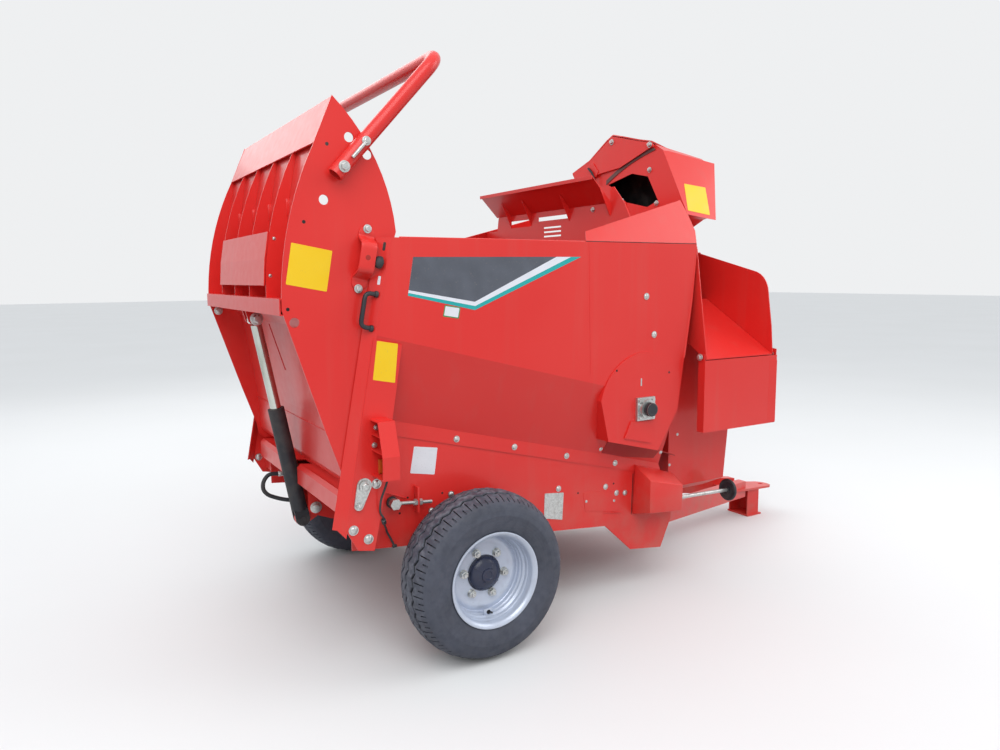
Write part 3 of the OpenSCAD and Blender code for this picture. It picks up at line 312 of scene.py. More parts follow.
def black_part(name, colour, roughness, grain, dust=0.4):
    """Black rubber, enamel or moulded plastic with a fine grain and a film of dust."""
    made = Finish(name, colour, roughness)
    film = made.spread(made.clouds(11, 7), 0.45, 0.75, 0.0, dust)
    made.feed("Base Color", made.mixed(film, colour, shade("6d6a66")))
    made.feed("Roughness", made.spread(film, 0, 0.4, roughness, 0.8))
    made.bump(made.clouds(grain, 3), 0.12)
    return made.material


def label_face(name, colour, faded):
    """Printed vinyl that has bleached a little and holds some dust."""
    made = Finish(name, colour, 0.5, coat=0.08, coat_roughness=0.3)
    bleached = made.spread(made.clouds(13, 5), 0.35, 0.75, 0.0, 0.5)
    base = made.mixed(bleached, colour, faded)
    marks = made.spread(made.clouds(150, 3), 0.66, 0.76, 0.0, 0.35)
    made.feed("Base Color", made.mixed(marks, base, DUST))
    made.feed("Roughness", made.spread(bleached, 0, 0.5, 0.34, 0.55))
    made.bump(made.clouds(240, 2), 0.03)
    return made.material


RED = painted_sheet("red powder coat", shade("dd2a26"), shade("e23a34"))
# A darker copy of the red paint as painted shade, with heavy dust, for the chamber's inside and for parts
# that lie in shade
SHADED_RED = painted_sheet(
    "red paint in painted shade inside the chamber", shade("a8191b"), shade("9c3a2c"), dust=0.9, roughness=0.5, coat=0.0
)
ZINC = zinc("galvanised steel", shade("c9cbc9"), 0.34)
STEEL = worn_steel()
CHROME = chromed_rod()
RIM_SILVER = silver_rim()
RUBBER = {side: tread_rubber(side) for side in SIDES}
SLEEVE_BLACK = black_part("black rubber", shade("202228"), 0.55, 260)
PLASTIC_BLACK = black_part("black moulded plastic", shade("1d1f26"), 0.40, 420)
HUB_BLACK = black_part("blue-black hub enamel", shade("262c44"), 0.20, 120, 0.10)
SHADOW_BLACK = black_part("unlit hollow", shade("0e0d10"), 0.90, 60)
CASTING = black_part("dark cast housing", shade("2c2e33"), 0.60, 160)
STRAP_BROWN = painted_sheet("weathered strap", shade("5c4644"), shade("7a6a66"), roughness=0.6, coat=0.0)
AMBER = label_face("amber reflector", shade("c8641a"), shade("a8561c"))
DECAL_GREY = label_face("dark grey decal", shade("4e525c"), shade("5f6470"))
DECAL_WHITE = label_face("white decal stripe", shade("e6e9f2"), shade("d5d8e0"))
DECAL_TEAL = label_face("teal decal stripe", shade("12a5a4"), shade("27b0ae"))
LABEL_YELLOW = label_face("yellow blank label", shade("f4c602"), shade("f3cc1c"))
LABEL_WHITE = label_face("white blank notice", shade("e4e6ec"), shade("d2d6dd"))
LABEL_GREEN = label_face("green label border", shade("2f8a50"), shade("4a9a62"))

SLOT_FINISH = {
    "red_paint": RED,
    # The frame's dark red slot gets the red paint in painted shade
    "dark_red_paint": SHADED_RED,
    "galvanised": ZINC,
    "worn_steel": STEEL,
    "chrome": CHROME,
    "rim_paint": RIM_SILVER,
    "black_rubber": SLEEVE_BLACK,
    "black_plastic": PLASTIC_BLACK,
    "dark_casting": CASTING,
    "strap_steel": STRAP_BROWN,
}


def dress_frame():
    """Gives every solid of the frame its finish."""
    slots = {part["node"]: part["material_slot"] for part in frame["record"]["subparts"]}
    for name, solid in frame["nodes"].items():
        finish = SLOT_FINISH.get(slots[name])
        if name.startswith("tyre"):
            finish = RUBBER[-1 if name.endswith("right") else 1]
        if name.startswith("hub"):
            finish = HUB_BLACK
        solid.data.materials.clear()
        solid.data.materials.append(finish)


# Making and settling pieces


def clear_choice():
    if bpy.context.object and bpy.context.object.mode != "OBJECT":
        bpy.ops.object.mode_set(mode="OBJECT")
    bpy.ops.object.select_all(action="DESELECT")


def take(*pieces):
    """Selects these pieces and nothing else, with the first one active."""
    clear_choice()
    for piece in pieces:
        piece.select_set(True)
    bpy.context.view_layer.objects.active = pieces[0]


def choose(test, kind="FACE"):
    """In edit mode, leaves selected only the faces or corners whose middle passes the test."""
    piece = bpy.context.object
    bpy.ops.mesh.select_all(action="DESELECT")
    bpy.ops.mesh.select_mode(type=kind)
    bpy.ops.object.mode_set(mode="OBJECT")
    if kind == "FACE":
        for face in piece.data.polygons:
            face.select = test(piece.matrix_world @ face.center)
    else:
        for corner in piece.data.vertices:
            corner.select = test(piece.matrix_world @ corner.co)
    bpy.ops.object.mode_set(mode="EDIT")


def settle(piece, name, body, finish, smooth=30):
    """Names a finished piece, puts its place into its mesh, and lets it ride on its body."""
    take(piece)
    bpy.ops.object.transform_apply(location=True, rotation=True, scale=True)
    if smooth:
        bpy.ops.object.shade_smooth_by_angle(angle=radians(smooth))
    piece.name = name
    piece.data.name = name
    piece.data.materials.clear()
    piece.data.materials.append(finish)
    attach(piece, body)
    return piece


def settle_red(piece, name, body="chassis", smooth=30):
    return settle(piece, name, body, RED, smooth)


# A piece in the red paint darkened as painted shade
def settle_shaded_red(piece, name, body="chassis", smooth=30):
    return settle(piece, name, body, SHADED_RED, smooth)


def settle_hollow(piece, name, body="chassis", smooth=30):
    """Settles a piece in black as painted shade, where a hole or gap shows dark."""
    return settle(piece, name, body, SHADOW_BLACK, smooth)


def settle_rubber(piece, name, smooth=60):
    return settle(piece, name, "chassis", SLEEVE_BLACK, smooth)


def united(pieces):
    """Joins the pieces into the first one."""
    take(*pieces)
    if len(pieces) > 1:
        bpy.ops.object.join()
    bpy.ops.object.transform_apply(location=True, rotation=True, scale=True)
    return bpy.context.object


def copy_at(model, spot, facing, size=1.0, spin=0.0):
    """A copy of a model that was made at the origin pointing up, with its own mesh."""
    made = model.copy()
    made.data = model.data.copy()
    bpy.context.scene.collection.objects.link(made)
    turn = facing.to_track_quat("Z", "Y").to_matrix().to_4x4() @ Matrix.Rotation(spin, 4, "Z")
    made.matrix_world = Matrix.Translation(spot) @ turn @ Matrix.Scale(size, 4)
    return made


def bevelled(piece, width, segments=2):
    rounding = piece.modifiers.new("rounding", "BEVEL")
    rounding.width = width
    rounding.segments = segments
    rounding.angle_limit = radians(30)
    take(piece)
    bpy.ops.object.modifier_apply(modifier="rounding")
    return piece


def turned(line, steps):
    """A piece turned about the Z axis at the origin, from its outline of (radius, height) points."""
    clear_choice()
    bpy.ops.mesh.primitive_circle_add(vertices=steps, radius=line[0][0], location=(0, 0, line[0][1]))
    bpy.ops.object.mode_set(mode="EDIT")
    bpy.ops.mesh.select_mode(type="VERT")
    bpy.ops.mesh.select_all(action="SELECT")
    for first, last in zip(line, line[1:]):
        bpy.ops.mesh.extrude_region_move(TRANSFORM_OT_translate={"value": (0, 0, last[1] - first[1])})
        grow = last[0] / first[0]
        bpy.ops.transform.resize(value=(grow, grow, 1), center_override=(0, 0, last[1]))
    bpy.ops.mesh.select_all(action="SELECT")
    bpy.ops.mesh.remove_doubles(threshold=3 * SHUT)
    bpy.ops.mesh.normals_make_consistent(inside=False)
    bpy.ops.object.mode_set(mode="OBJECT")
    bpy.ops.object.transform_apply(location=True, rotation=False, scale=False)
    return bpy.context.object


def stand(piece, spot, facing):
    """Moves a piece from the origin to a spot, with its Z axis turned to face a given way."""
    turn = Vector(facing).to_track_quat("Z", "Y").to_matrix().to_4x4()
    piece.matrix_world = Matrix.Translation(spot) @ turn
    return piece


def bar(start, end, radius, sides=20):
    """A round bar between two points, with broken edges."""
    clear_choice()
    way = end - start
    turn = way.to_track_quat("Z", "Y").to_euler()
    bpy.ops.mesh.primitive_cylinder_add(
        vertices=sides, radius=radius, depth=way.length, location=(start + end) / 2, rotation=turn
    )
    return bevelled(bpy.context.object, radius * 0.22)


def slab(low, high, edge=0.001):
    """A block between two corners, with broken edges."""
    clear_choice()
    bpy.ops.mesh.primitive_cube_add(size=1, location=(low + high) / 2)
    piece = bpy.context.object
    piece.scale = [abs(c) for c in high - low]
    bpy.ops.object.transform_apply(location=False, rotation=False, scale=True)
    return bevelled(piece, edge)


def smooth_way(points):
    """More points along a smooth line through the given ones, as the frame's cords are laid."""
    steps = 8
    out = []
    for i, b in enumerate(points[:-1]):
        a, c, d = points[max(i - 1, 0)], points[i + 1], points[min(i + 2, len(points) - 1)]
        slope = c - a
        bend = a * 2 - b * 5 + c * 4 - d
        twist = b * 3 - a - c * 3 + d
        for k in range(steps):
            t = k / steps
            out.append((b * 2 + slope * t + bend * t**2 + twist * t**3) / 2)
    return out + [points[-1]]


def tube(points, radius, sides=5):
    """A round bar or hose that is bent along a line of points."""
    way = bpy.data.curves.new("bent bar", "CURVE")
    way.dimensions = "3D"
    way.bevel_depth = radius
    way.bevel_resolution = sides
    way.use_fill_caps = True
    line = way.splines.new("POLY")
    line.points.add(len(points) - 1)
    for knot, spot in zip(line.points, points):
        knot.co = (*spot, 1)
    piece = bpy.data.objects.new("bent bar", way)
    bpy.context.scene.collection.objects.link(piece)
    take(piece)
    bpy.ops.object.convert(target="MESH")
    return bpy.context.object


def sheet_piece(corners, thickness, away):
    """A thin plate from its corner points, which gets its thickness away from what it is stuck on."""
    clear_choice()
    bpy.ops.mesh.primitive_circle_add(vertices=len(corners), radius=0.1, fill_type="NGON")
    piece = bpy.context.object
    for corner, spot in zip(piece.data.vertices, corners):
        corner.co = spot
    bpy.ops.object.mode_set(mode="EDIT")
    bpy.ops.mesh.select_all(action="SELECT")
    bpy.ops.mesh.extrude_region_move(TRANSFORM_OT_translate={"value": tuple(away.normalized() * thickness)})
    bpy.ops.mesh.select_all(action="SELECT")
    bpy.ops.mesh.normals_make_consistent(inside=False)
    bpy.ops.object.mode_set(mode="OBJECT")
    return piece


def rounded(corners, radius, steps=4):
    """Corner points with each corner cut to a small arc; the radius is one number, or a list of them."""
    out = []
    for i, corner in enumerate(corners):
        before, after = corners[i - 1], corners[(i + 1) % len(corners)]
        reach = radius[i] if isinstance(radius, list) else radius
        start = corner + (before - corner).normalized() * reach
        end = corner + (after - corner).normalized() * reach
        for k in range(steps + 1):
            t = k / steps
            out.append(start * (1 - t) ** 2 + corner * 2 * t * (1 - t) + end * t**2)
    return out


# Bolts


def bolt_model():
    """A flanged hex head of 30 mm across its washer, pointing up from the origin."""
    washer_top, head_height = 0.003, 0.008
    head_top = washer_top + head_height
    clear_choice()
    bpy.ops.mesh.primitive_cylinder_add(
        vertices=28, radius=0.0150, depth=washer_top, location=(0, 0, washer_top / 2)
    )
    washer = bpy.context.object
    bpy.ops.mesh.primitive_cylinder_add(
        vertices=6, radius=0.0105, depth=head_height, location=(0, 0, washer_top + head_height / 2)
    )
    head = bpy.context.object
    bpy.ops.object.mode_set(mode="EDIT")
    choose(lambda at: at.z > head_top - 0.0005)
    bpy.ops.mesh.inset(thickness=0.0018)
    bpy.ops.transform.translate(value=(0, 0, 0.0012))
    bpy.ops.object.mode_set(mode="OBJECT")
    return bevelled(united([washer, head]), 0.0006)


def dome_model():
    """A domed coach bolt head on its washer of 33 mm, pointing up from the origin."""
    clear_choice()
    bpy.ops.mesh.primitive_uv_sphere_add(segments=24, ring_count=12, radius=0.014, location=(0, 0, 0))
    dome = bpy.context.object
    bpy.ops.object.mode_set(mode="EDIT")
    bpy.ops.mesh.select_all(action="SELECT")
    bpy.ops.mesh.bisect(plane_co=(0, 0, 0), plane_no=UP, clear_inner=True, use_fill=True)
    bpy.ops.mesh.select_all(action="SELECT")
    bpy.ops.transform.resize(value=(1, 1, 0.62), center_override=(0, 0, 0))
    bpy.ops.object.mode_set(mode="OBJECT")
    bpy.ops.mesh.primitive_cylinder_add(vertices=28, radius=0.0165, depth=0.0024, location=(0, 0, 0.0012))
    return united([dome, bpy.context.object])


def hole_shade_model():
    """The painted shade inside a bored hole of 10 mm, as a shallow disc."""
    return turned([(0.005, 0.0), (0.0048, 0.0004), (SHUT, 0.0004)], 20)


def bolt_set(name, body, model, rows, finish=ZINC):
    """Copies of a bolt at (x, y, z) in millimetres, each facing a given way."""
    made = []
    for i, (spot, facing, size) in enumerate(rows):
        made.append(copy_at(model, place(*spot), Vector(facing), size, spin=0.7 * i))
    return settle(united(made), name, body, finish)


# Black discs as painted shade inside bored holes
def hole_shade_set(name, body, model, rows):
    return bolt_set(name, body, model, rows, SHADOW_BLACK)


def side_bolts(spots, y, side, size=1.0):
    """Rows of bolts on a side panel, given by their (x, z)."""
    return [((x, side * y, z), (0, side, 0), size) for x, z in spots]


def body_side_bolts(side, hexed, domed, hollow):
    """Bolts, pins, screws, and black discs as painted shade in holes, on one side of the body, the chassis
    and the tailgate.
    """
    word = SIDES[side]
    post = [(-472, 831), (-575, 654), (-513, 607)]
    panel = [(950, 1556), (1004, 1368)]
    seam = [(-44, 944), (259, 871), (558, 790), (862, 714)]
    chassis = [(-73, 696), (-171, 637), (514, 632), (806, 598), (878, 555), (934, 547)]

    inward = [((x, side * (HALF_BODY - 5), z), (0, -side, 0), 1.2) for x, z in post[1:]]
    rows = side_bolts(post, HALF_BODY, side, 1.25) + side_bolts(panel, HALF_BODY, side) + inward
    bolt_set(f"body_bolts_{word}", "chassis", domed, rows)
    rows = side_bolts(seam, HALF_CHASSIS + 5, side, 0.9) + side_bolts(chassis, HALF_CHASSIS, side, 0.9)
    bolt_set(f"seam_bolts_{word}", "chassis", domed, rows)

    hoop_foot = HALF_GATE + 60
    rows = side_bolts([(-567, 2070)], hoop_foot, side, 1.5) + side_bolts([(-476, 2171)], hoop_foot, side, 1.2)
    bolt_set(f"hoop_bolts_{word}", "tailgate", hexed, rows)
    pin = bar(place(-480, side * 767, 2166), place(-536, side * 767, 2104), 0.0075)
    settle(pin, f"hoop_pin_{word}", "tailgate", ZINC)

    keeper = side_bolts([(-526, 831)], HALF_BODY + 12, side, 1.5)
    bolt_set(f"keeper_bolt_{word}", "chassis", hexed, keeper)
    nut = side_bolts([(-551, 752)], HALF_BODY + 18, side, 0.7)
    bolt_set(f"keeper_nut_{word}", "chassis", domed, nut)

    half_pitch = 43
    ways = (-half_pitch, half_pitch)
    corners = [(ROTOR_X + a, ROTOR_Z + b) for a in ways for b in ways]
    bolt_set(f"bearing_bolts_{word}", "chassis", hexed, side_bolts(corners, BEARING_FACE, side, 0.85))

    screws = side_bolts([(684, 541), (862, 517)], HALF_CHASSIS + 1.6, side, 0.42)
    screws += side_bolts([(1348, 797), (1294, 633)], 580, side, 0.5)
    for x, y, z in ((1152, 660.3, 737), (763, 648.5, 800)):
        screws.append(((x, side * y, z), cover_slant(side), 0.6))
    bolt_set(f"small_screws_{word}", "chassis", domed, screws)

    small = side_bolts([(-283, 713), (-116, 708), (-322, 650), (633, 591), (859, 606)], HALF_CHASSIS, side)
    hole_shade_set(f"chassis_hole_shades_{word}", "chassis", hollow, small)
    small = side_bolts([(-611, 2158), (-711, 1865), (-785, 1538)], HALF_GATE, side, 1.4)
    hole_shade_set(f"gate_hole_shades_{word}", "tailgate", hollow, small)
    small = side_bolts([(766, 1204), (1105, 1173)], COVER_FACE, side, 1.1)
    hole_shade_set(f"cover_hole_shades_{word}", "chassis", hollow, small)


def rear_bolts(hexed, domed):
    """Bolts of the striker, the tailgate's frame, the rear sill, the ribs and the lamp guard."""
    rows = side_bolts([(-461, 1845), (-506, 1612)], HALF_GATE + 6, -1, 1.15)
    bolt_set("striker_bolts", "tailgate", hexed, rows)
    rows = [
        ((-741, -35, 1473), (0, -1, 0), 2.0),
        ((-741, 35, 1473), (0, 1, 0), 2.0),
        ((-762, 694, 1487), (0, -1, 0), 1.5),
    ]
    bolt_set("gate_frame_bolts", "tailgate", hexed, rows)
    rows = [((-510, -65, 561), (0, -1, 0), 1.9), ((-510, 65, 561), (0, 1, 0), 1.9)]
    bolt_set("sill_bolts", "chassis", hexed, rows)
    bolt_set("rib_rivets", "tailgate", domed, side_bolts([(-750, 1815), (-772, 1666)], 422.5, -1, 0.45))
    bolt_set("guard_bolts", "chassis", hexed, side_bolts([(-466, 1061), (-476, 990)], HALF_BODY, -1, 0.8))


def chute_and_flap_bolts(hexed):
    rows = [
        ((1273, -402, 2350), BACKWARD, 1.1),
        ((1295, -382, 2223), BACKWARD, 1.0),
        ((1295, 109, 2050), BACKWARD, 1.0),
        ((1295, -441, 2041), BACKWARD, 1.0),
        ((1289, -167, 2078), BACKWARD, 0.9),
        ((900, -396, 1995), BACKWARD, 0.9),
    ]
    bolt_set("chute_bolts", "chassis", hexed, rows)
    bolt_set("chute_hood_bolt", "top_hood", hexed, [((1281, -78, 2412), BACKWARD, 1.1)])
    rows = [((1257, -820, 1245), BACKWARD, 1.2), ((1808, -820, 1245), FORWARD, 1.2)]
    bolt_set("flap_bolts", "chassis", hexed, rows)
    bolt_set("flap_inner_bolt", "side_flap", hexed, [((1799.8, -812, 1233), BACKWARD, 1.2)])


def fit_bolts():
    hexed, domed, hollow = bolt_model(), dome_model(), hole_shade_model()
    for side in SIDES:
        body_side_bolts(side, hexed, domed, hollow)
    rear_bolts(hexed, domed)
    chute_and_flap_bolts(hexed)
    for model in (hexed, domed, hollow):
        bpy.data.objects.remove(model)


# Stickers


def sticker(name, points, y, body, finish, thickness=0.0005, radius=0.004):
    """A sticker on a side face; its corners are (x, z) points."""
    corners = [place(x, y, z) for x, z in points]
    if radius:
        corners = rounded(corners, radius)
    return settle(sheet_piece(corners, thickness, Vector((0, y, 0))), name, body, finish, smooth=0)


def decal():
    """The striped decal of the right side: teal below, then white, then dark grey on top."""
    for name, points, finish, thickness in (
        ("decal_teal", [(-289, 1736), (552, 1743), (-8, 1516), (-316, 1582)], DECAL_TEAL, 0.0005),
        ("decal_white", [(-289, 1736), (494, 1742), (-7, 1533), (-314, 1593)], DECAL_WHITE, 0.0008),
        ("decal_grey", [(-289, 1736), (413, 1742), (-8, 1551), (-312, 1604)], DECAL_GREY, 0.0011),
    ):
        sticker(name, points, -HALF_BODY, "chassis", finish, thickness, radius=0)


def side_labels():
    """The blank labels, the notice and the type plate of the right side."""
    border = [(-150, 1541), (-77, 1529), (-86, 1482), (-160, 1494)]
    sticker("small_label_border", border, -HALF_BODY, "chassis", LABEL_GREEN)
    face = [(-147, 1536), (-82, 1526), (-90, 1487), (-155, 1498)]
    sticker("small_label", face, -HALF_BODY, "chassis", LABEL_WHITE, 0.0008)
    post = [(-453, 1407), (-364, 1391), (-381, 1234), (-475, 1253)]
    sticker("post_label", post, -HALF_BODY, "chassis", LABEL_YELLOW)
    gate = [(-762, 1787), (-604, 1758), (-632, 1602), (-789, 1632)]
    sticker("gate_label", gate, -HALF_GATE, "tailgate", LABEL_YELLOW)
    notice = [(-248, 934), (-136, 915), (-153, 797), (-269, 819)]
    sticker("notice", notice, -HALF_CHASSIS, "chassis", LABEL_WHITE)
    plate = [(433, 620), (545, 608), (537, 472), (429, 497)]
    sticker("type_plate", plate, -HALF_CHASSIS, "chassis", ZINC, 0.0012)


def chute_label():
    """The yellow label on the chute's slanting face."""
    out = Vector((0, -0.8776, 0.4794))
    outline = places(((1354, -581, 2132), (1502, -588, 2119), (1455, -671, 1967), (1308, -660, 1987)))
    corners = [corner + out * 0.0004 for corner in outline]
    label = sheet_piece(rounded(corners, 0.004), 0.0005, out)
    settle(label, "chute_label", "chassis", LABEL_YELLOW, smooth=0)


# Wheels


def wheel_centre(side):
    return Vector((AXLE, side * TRACK_HALF, WHEEL_HEIGHT))


def on_wheel(side, x, height, z):
    """A point in metres from a wheel's centre, with the height counted outwards."""
    return wheel_centre(side) + Vector((x, side * height, z))


def about_hub(side, radius, turn, height):
    return on_wheel(side, radius * cos(turn), height, -radius * sin(turn))


TREAD_STEPS = 160
BEAD = 0.1965
# Half of the tyre's outside, from the bead over the side wall to the middle, as (radius, distance from
# the middle), and then its inside from one bead to the other
TYRE_HALF = [
    (BEAD, 0.097), (0.206, 0.106), (0.214, 0.1125), (0.222, 0.1165), (0.238, 0.1212), (0.262, 0.1255),
    (0.279, 0.1266), (0.282, 0.1274), (0.289, 0.1274), (0.292, 0.1264), (0.308, 0.1248), (0.320, 0.1218),
    (0.330, 0.1175), (0.338, 0.1118), (0.3445, 0.1035), (0.3490, 0.093), (0.3543, 0.080), (0.3600, 0.064),
    (0.3626, 0.0550), (0.3525, 0.0520), (0.3530, 0.0435), (0.3658, 0.0405), (0.3688, 0.0220),
    (0.3697, 0.0065), (0.3590, 0.0040),
]
TYRE_INSIDE = [
    (BEAD, -0.0755), (0.326, -0.098), (0.334, -0.078), (0.338, 0.0), (0.334, 0.078), (0.326, 0.098),
    (BEAD, 0.0755),
]
CROWN = 0.3500  # the tread's grooves lie outside this radius
GROOVES_HALF = 0.0575
ZIGZAG = 0.0080
# Slits across the shoulder blocks and shorter notches between them: which step of four, the least and the
# greatest radius, the least distance from the middle, the rim that is left, the depth
SHOULDER_CUTS = [
    (0, 0.336, 0.3622, 0.056, 0.0042, 0.0075),
    (2, 0.340, 0.3550, 0.078, 0.0035, 0.0055),
]


def tyre_steps(at):
    """How far round the wheel a point lies, in steps of the tread."""
    return atan2(at.z - WHEEL_HEIGHT, at.x - AXLE) / (2 * pi) * TREAD_STEPS


def tyre_radius(at):
    return sqrt((at.z - WHEEL_HEIGHT) ** 2 + (at.x - AXLE) ** 2)


def tread_ring(first, last):
    """In edit mode, pulls the selected ring on from one (radius, distance) to the next."""
    bpy.ops.mesh.extrude_region_move(TRANSFORM_OT_translate={"value": (0, last[1] - first[1], 0)})
    grow = last[0] / first[0]
    bpy.ops.transform.resize(value=(grow, 1, grow), center_override=(AXLE, 0, WHEEL_HEIGHT))


def tread_tyre(side):
    """A road tyre of an implement: three zigzag grooves, the middle one narrow, and cut shoulder blocks."""
    outside = TYRE_HALF + [(r, -w) for r, w in reversed(TYRE_HALF)]
    line = outside + TYRE_INSIDE + [outside[0]]
    clear_choice()
    bpy.ops.mesh.primitive_circle_add(
        vertices=TREAD_STEPS,
        radius=line[0][0],
        rotation=(pi / 2, 0, 0),
        location=(AXLE, line[0][1], WHEEL_HEIGHT),
    )
    tyre = bpy.context.object
    bpy.ops.object.mode_set(mode="EDIT")
    bpy.ops.mesh.select_mode(type="VERT")
    bpy.ops.mesh.select_all(action="SELECT")
    for first, last in zip(line, line[1:]):
        tread_ring(first, last)
    bpy.ops.mesh.select_all(action="SELECT")
    bpy.ops.mesh.remove_doubles(threshold=0.0002)
    bpy.ops.mesh.normals_make_consistent(inside=False)

    def in_groove(at, phase):
        return tyre_radius(at) > CROWN and abs(at.y) < GROOVES_HALF and round(tyre_steps(at)) % 4 == phase

    # Every other pair of corners goes one way, the rest the other way
    for way, phase in ((1, 0), (-1, 2)):
        choose(lambda at: in_groove(at, phase), "VERT")
        bpy.ops.transform.translate(value=(0, way * ZIGZAG, 0))

    def in_shoulder(at, phase, low, high, out):
        return low < tyre_radius(at) < high and abs(at.y) > out and floor(tyre_steps(at)) % 4 == phase

    for phase, low, high, out, rim, depth in SHOULDER_CUTS:
        choose(lambda at: in_shoulder(at, phase, low, high, out))
        bpy.ops.mesh.inset(thickness=rim, use_boundary=True)
        bpy.ops.mesh.extrude_region_shrink_fatten(TRANSFORM_OT_shrink_fatten={"value": -depth})
    bpy.ops.mesh.select_all(action="SELECT")
    bpy.ops.transform.translate(value=(0, side * TRACK_HALF, 0))
    bpy.ops.object.mode_set(mode="OBJECT")
    word = SIDES[side]
    settle(tyre, f"tread_tyre_{word}", f"wheel_{word}", RUBBER[side], smooth=24)
    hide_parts(f"tyre_{word}")


# The rim's section from the front flange over the well and the disc round to the tyre's side, and the
# grease cap's from its foot to its middle, as (radius, height)
RIM_LINE = [
    (0.2120, 0.1160), (0.2116, 0.1190), (0.2080, 0.1200), (0.2040, 0.1186), (0.1990, 0.1155),
    (0.1930, 0.1100), (0.1897, 0.1040), (0.1897, 0.0740), (0.1870, 0.0700), (0.1847, 0.0640),
    (0.1847, 0.0570), (0.1810, 0.0520), (0.1780, 0.0480), (0.1780, 0.0410), (0.1760, 0.0370),
    (0.1722, 0.0320), (0.1720, 0.0140), (0.1690, 0.0100), (0.1610, 0.0130), (0.1520, 0.0150),
    (0.1430, 0.0145), (0.1350, 0.0115), (0.1290, 0.0092), (0.0806, 0.0091), (0.0806, -0.0010),
    (0.1720, -0.0010), (0.1720, -0.0420), (0.1847, -0.0560), (0.1847, -0.0640), (0.1897, -0.0730),
    (0.1897, -0.1060), (0.2040, -0.1190), (0.2120, -0.1200), (0.2120, -0.1140), (0.1957, -0.1040),
    (0.1957, -0.0740), (0.1907, -0.0660), (0.1907, -0.0580), (0.1780, -0.0440), (0.1780, 0.0360),
    (0.1907, 0.0580), (0.1907, 0.0660), (0.1957, 0.0740), (0.1957, 0.1040), (0.2120, 0.1140),
    (0.2120, 0.1160),
]
CAP_LINE = [
    (0.0797, 0.0100), (0.0797, 0.0140), (0.0762, 0.0155), (0.0758, 0.0230), (0.0735, 0.0270),
    (0.0660, 0.0338), (0.0560, 0.0398), (0.0440, 0.0442), (0.0345, 0.0462), (0.0315, 0.0466),
    (0.0300, 0.0512), (0.0270, 0.0526), (0.0190, 0.0526), (0.0170, 0.0500), (SHUT, 0.0496),
]
STUD_CIRCLE = 0.1025
DISC_FACE = 0.009


def pressed_rim(side):
    word = SIDES[side]
    rim = stand(turned(RIM_LINE, 128), wheel_centre(side), (0, side, 0))
    settle(rim, f"pressed_rim_{word}", f"wheel_{word}", RIM_SILVER, 32)
    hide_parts(f"rim_{word}")


def wheel_nut():
    """A hex nut on its washer with the end of the stud in it, pointing up from the disc's face."""
    clear_choice()
    bpy.ops.mesh.primitive_cylinder_add(vertices=28, radius=0.0195, depth=0.003, location=(0, 0, 0.0018))
    washer = bpy.context.object
    bpy.ops.mesh.primitive_cylinder_add(vertices=6, radius=0.0176, depth=0.015, location=(0, 0, 0.0108))
    nut = bevelled(bpy.context.object, 0.0012)
    stud = turned([(0.0096, 0.002), (0.0096, 0.025), (0.0084, 0.0268), (SHUT, 0.0268)], 24)
    return united([washer, nut, stud])


def wheel_nuts(side):
    word = SIDES[side]
    model = wheel_nut()
    spots = [about_hub(side, STUD_CIRCLE, radians(60 * i + 8), DISC_FACE) for i in range(6)]
    nuts = [copy_at(model, spot, Vector((0, side, 0))) for spot in spots]
    bpy.data.objects.remove(model)
    settle(united(nuts), f"wheel_nuts_{word}", f"wheel_{word}", ZINC)


def grease_cap(side):
    """The hub's domed cap with four ribs round its nipple."""
    word = SIDES[side]
    cap = stand(turned(CAP_LINE, 72), wheel_centre(side), (0, side, 0))
    ribs = []
    for i in range(4):
        turn = 0.6 + i * pi / 2
        inner, outer = about_hub(side, 0.032, turn, 0.0470), about_hub(side, 0.071, turn, 0.0292)
        ribs.append(bar(inner, outer, 0.0036, 12))
    settle(united([cap] + ribs), f"grease_cap_{word}", f"wheel_{word}", HUB_BLACK)


def tyre_valve(side):
    """The valve in the rim's well, with a black disc as painted shade of the hole it comes through, and the
    plate round it.
    """
    word = SIDES[side]
    guard = slab(on_wheel(side, -0.022, 0.044, -0.177), on_wheel(side, 0.020, 0.048, -0.150), 0.0015)
    settle(guard, f"valve_plate_{word}", f"wheel_{word}", RIM_SILVER)
    hole_shade_disc = turned([(0.0100, 0.0), (0.0098, 0.0006), (SHUT, 0.0006)], 24)
    stand(hole_shade_disc, on_wheel(side, 0, 0.048, -0.166), (0, side, 0))
    settle_hollow(hole_shade_disc, f"valve_hole_shade_{word}", f"wheel_{word}")
    stem = bar(on_wheel(side, 0.004, 0.030, -0.170), on_wheel(side, 0.006, 0.068, -0.163), 0.0045)
    settle(stem, f"valve_{word}", f"wheel_{word}", PLASTIC_BLACK)


# Hose and cable


def hydraulic_hose():
    """The lift cylinder's hose on the frame's route, with its two ferrules."""
    way = places((
        (-604, 104, 706), (-628, 104, 706), (-679, 104, 709), (-708, 103, 682), (-714, 101, 643),
        (-694, 99, 612), (-654, 94, 591), (-612, 86, 577), (-570, 80, 569), (-545, 80, 569),
    ))
    hose = settle_rubber(tube(smooth_way(way), 0.010), "hydraulic_hose")
    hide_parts("cylinder_hose")
    upper = bar(place(-604, 104, 706), place(-640, 104, 706.5), 0.0125)
    lower = bar(place(-572, 80.5, 569.3), place(-545, 80, 569), 0.0125)
    settle(united([upper, lower]), "hose_ferrules", "chassis", ZINC)


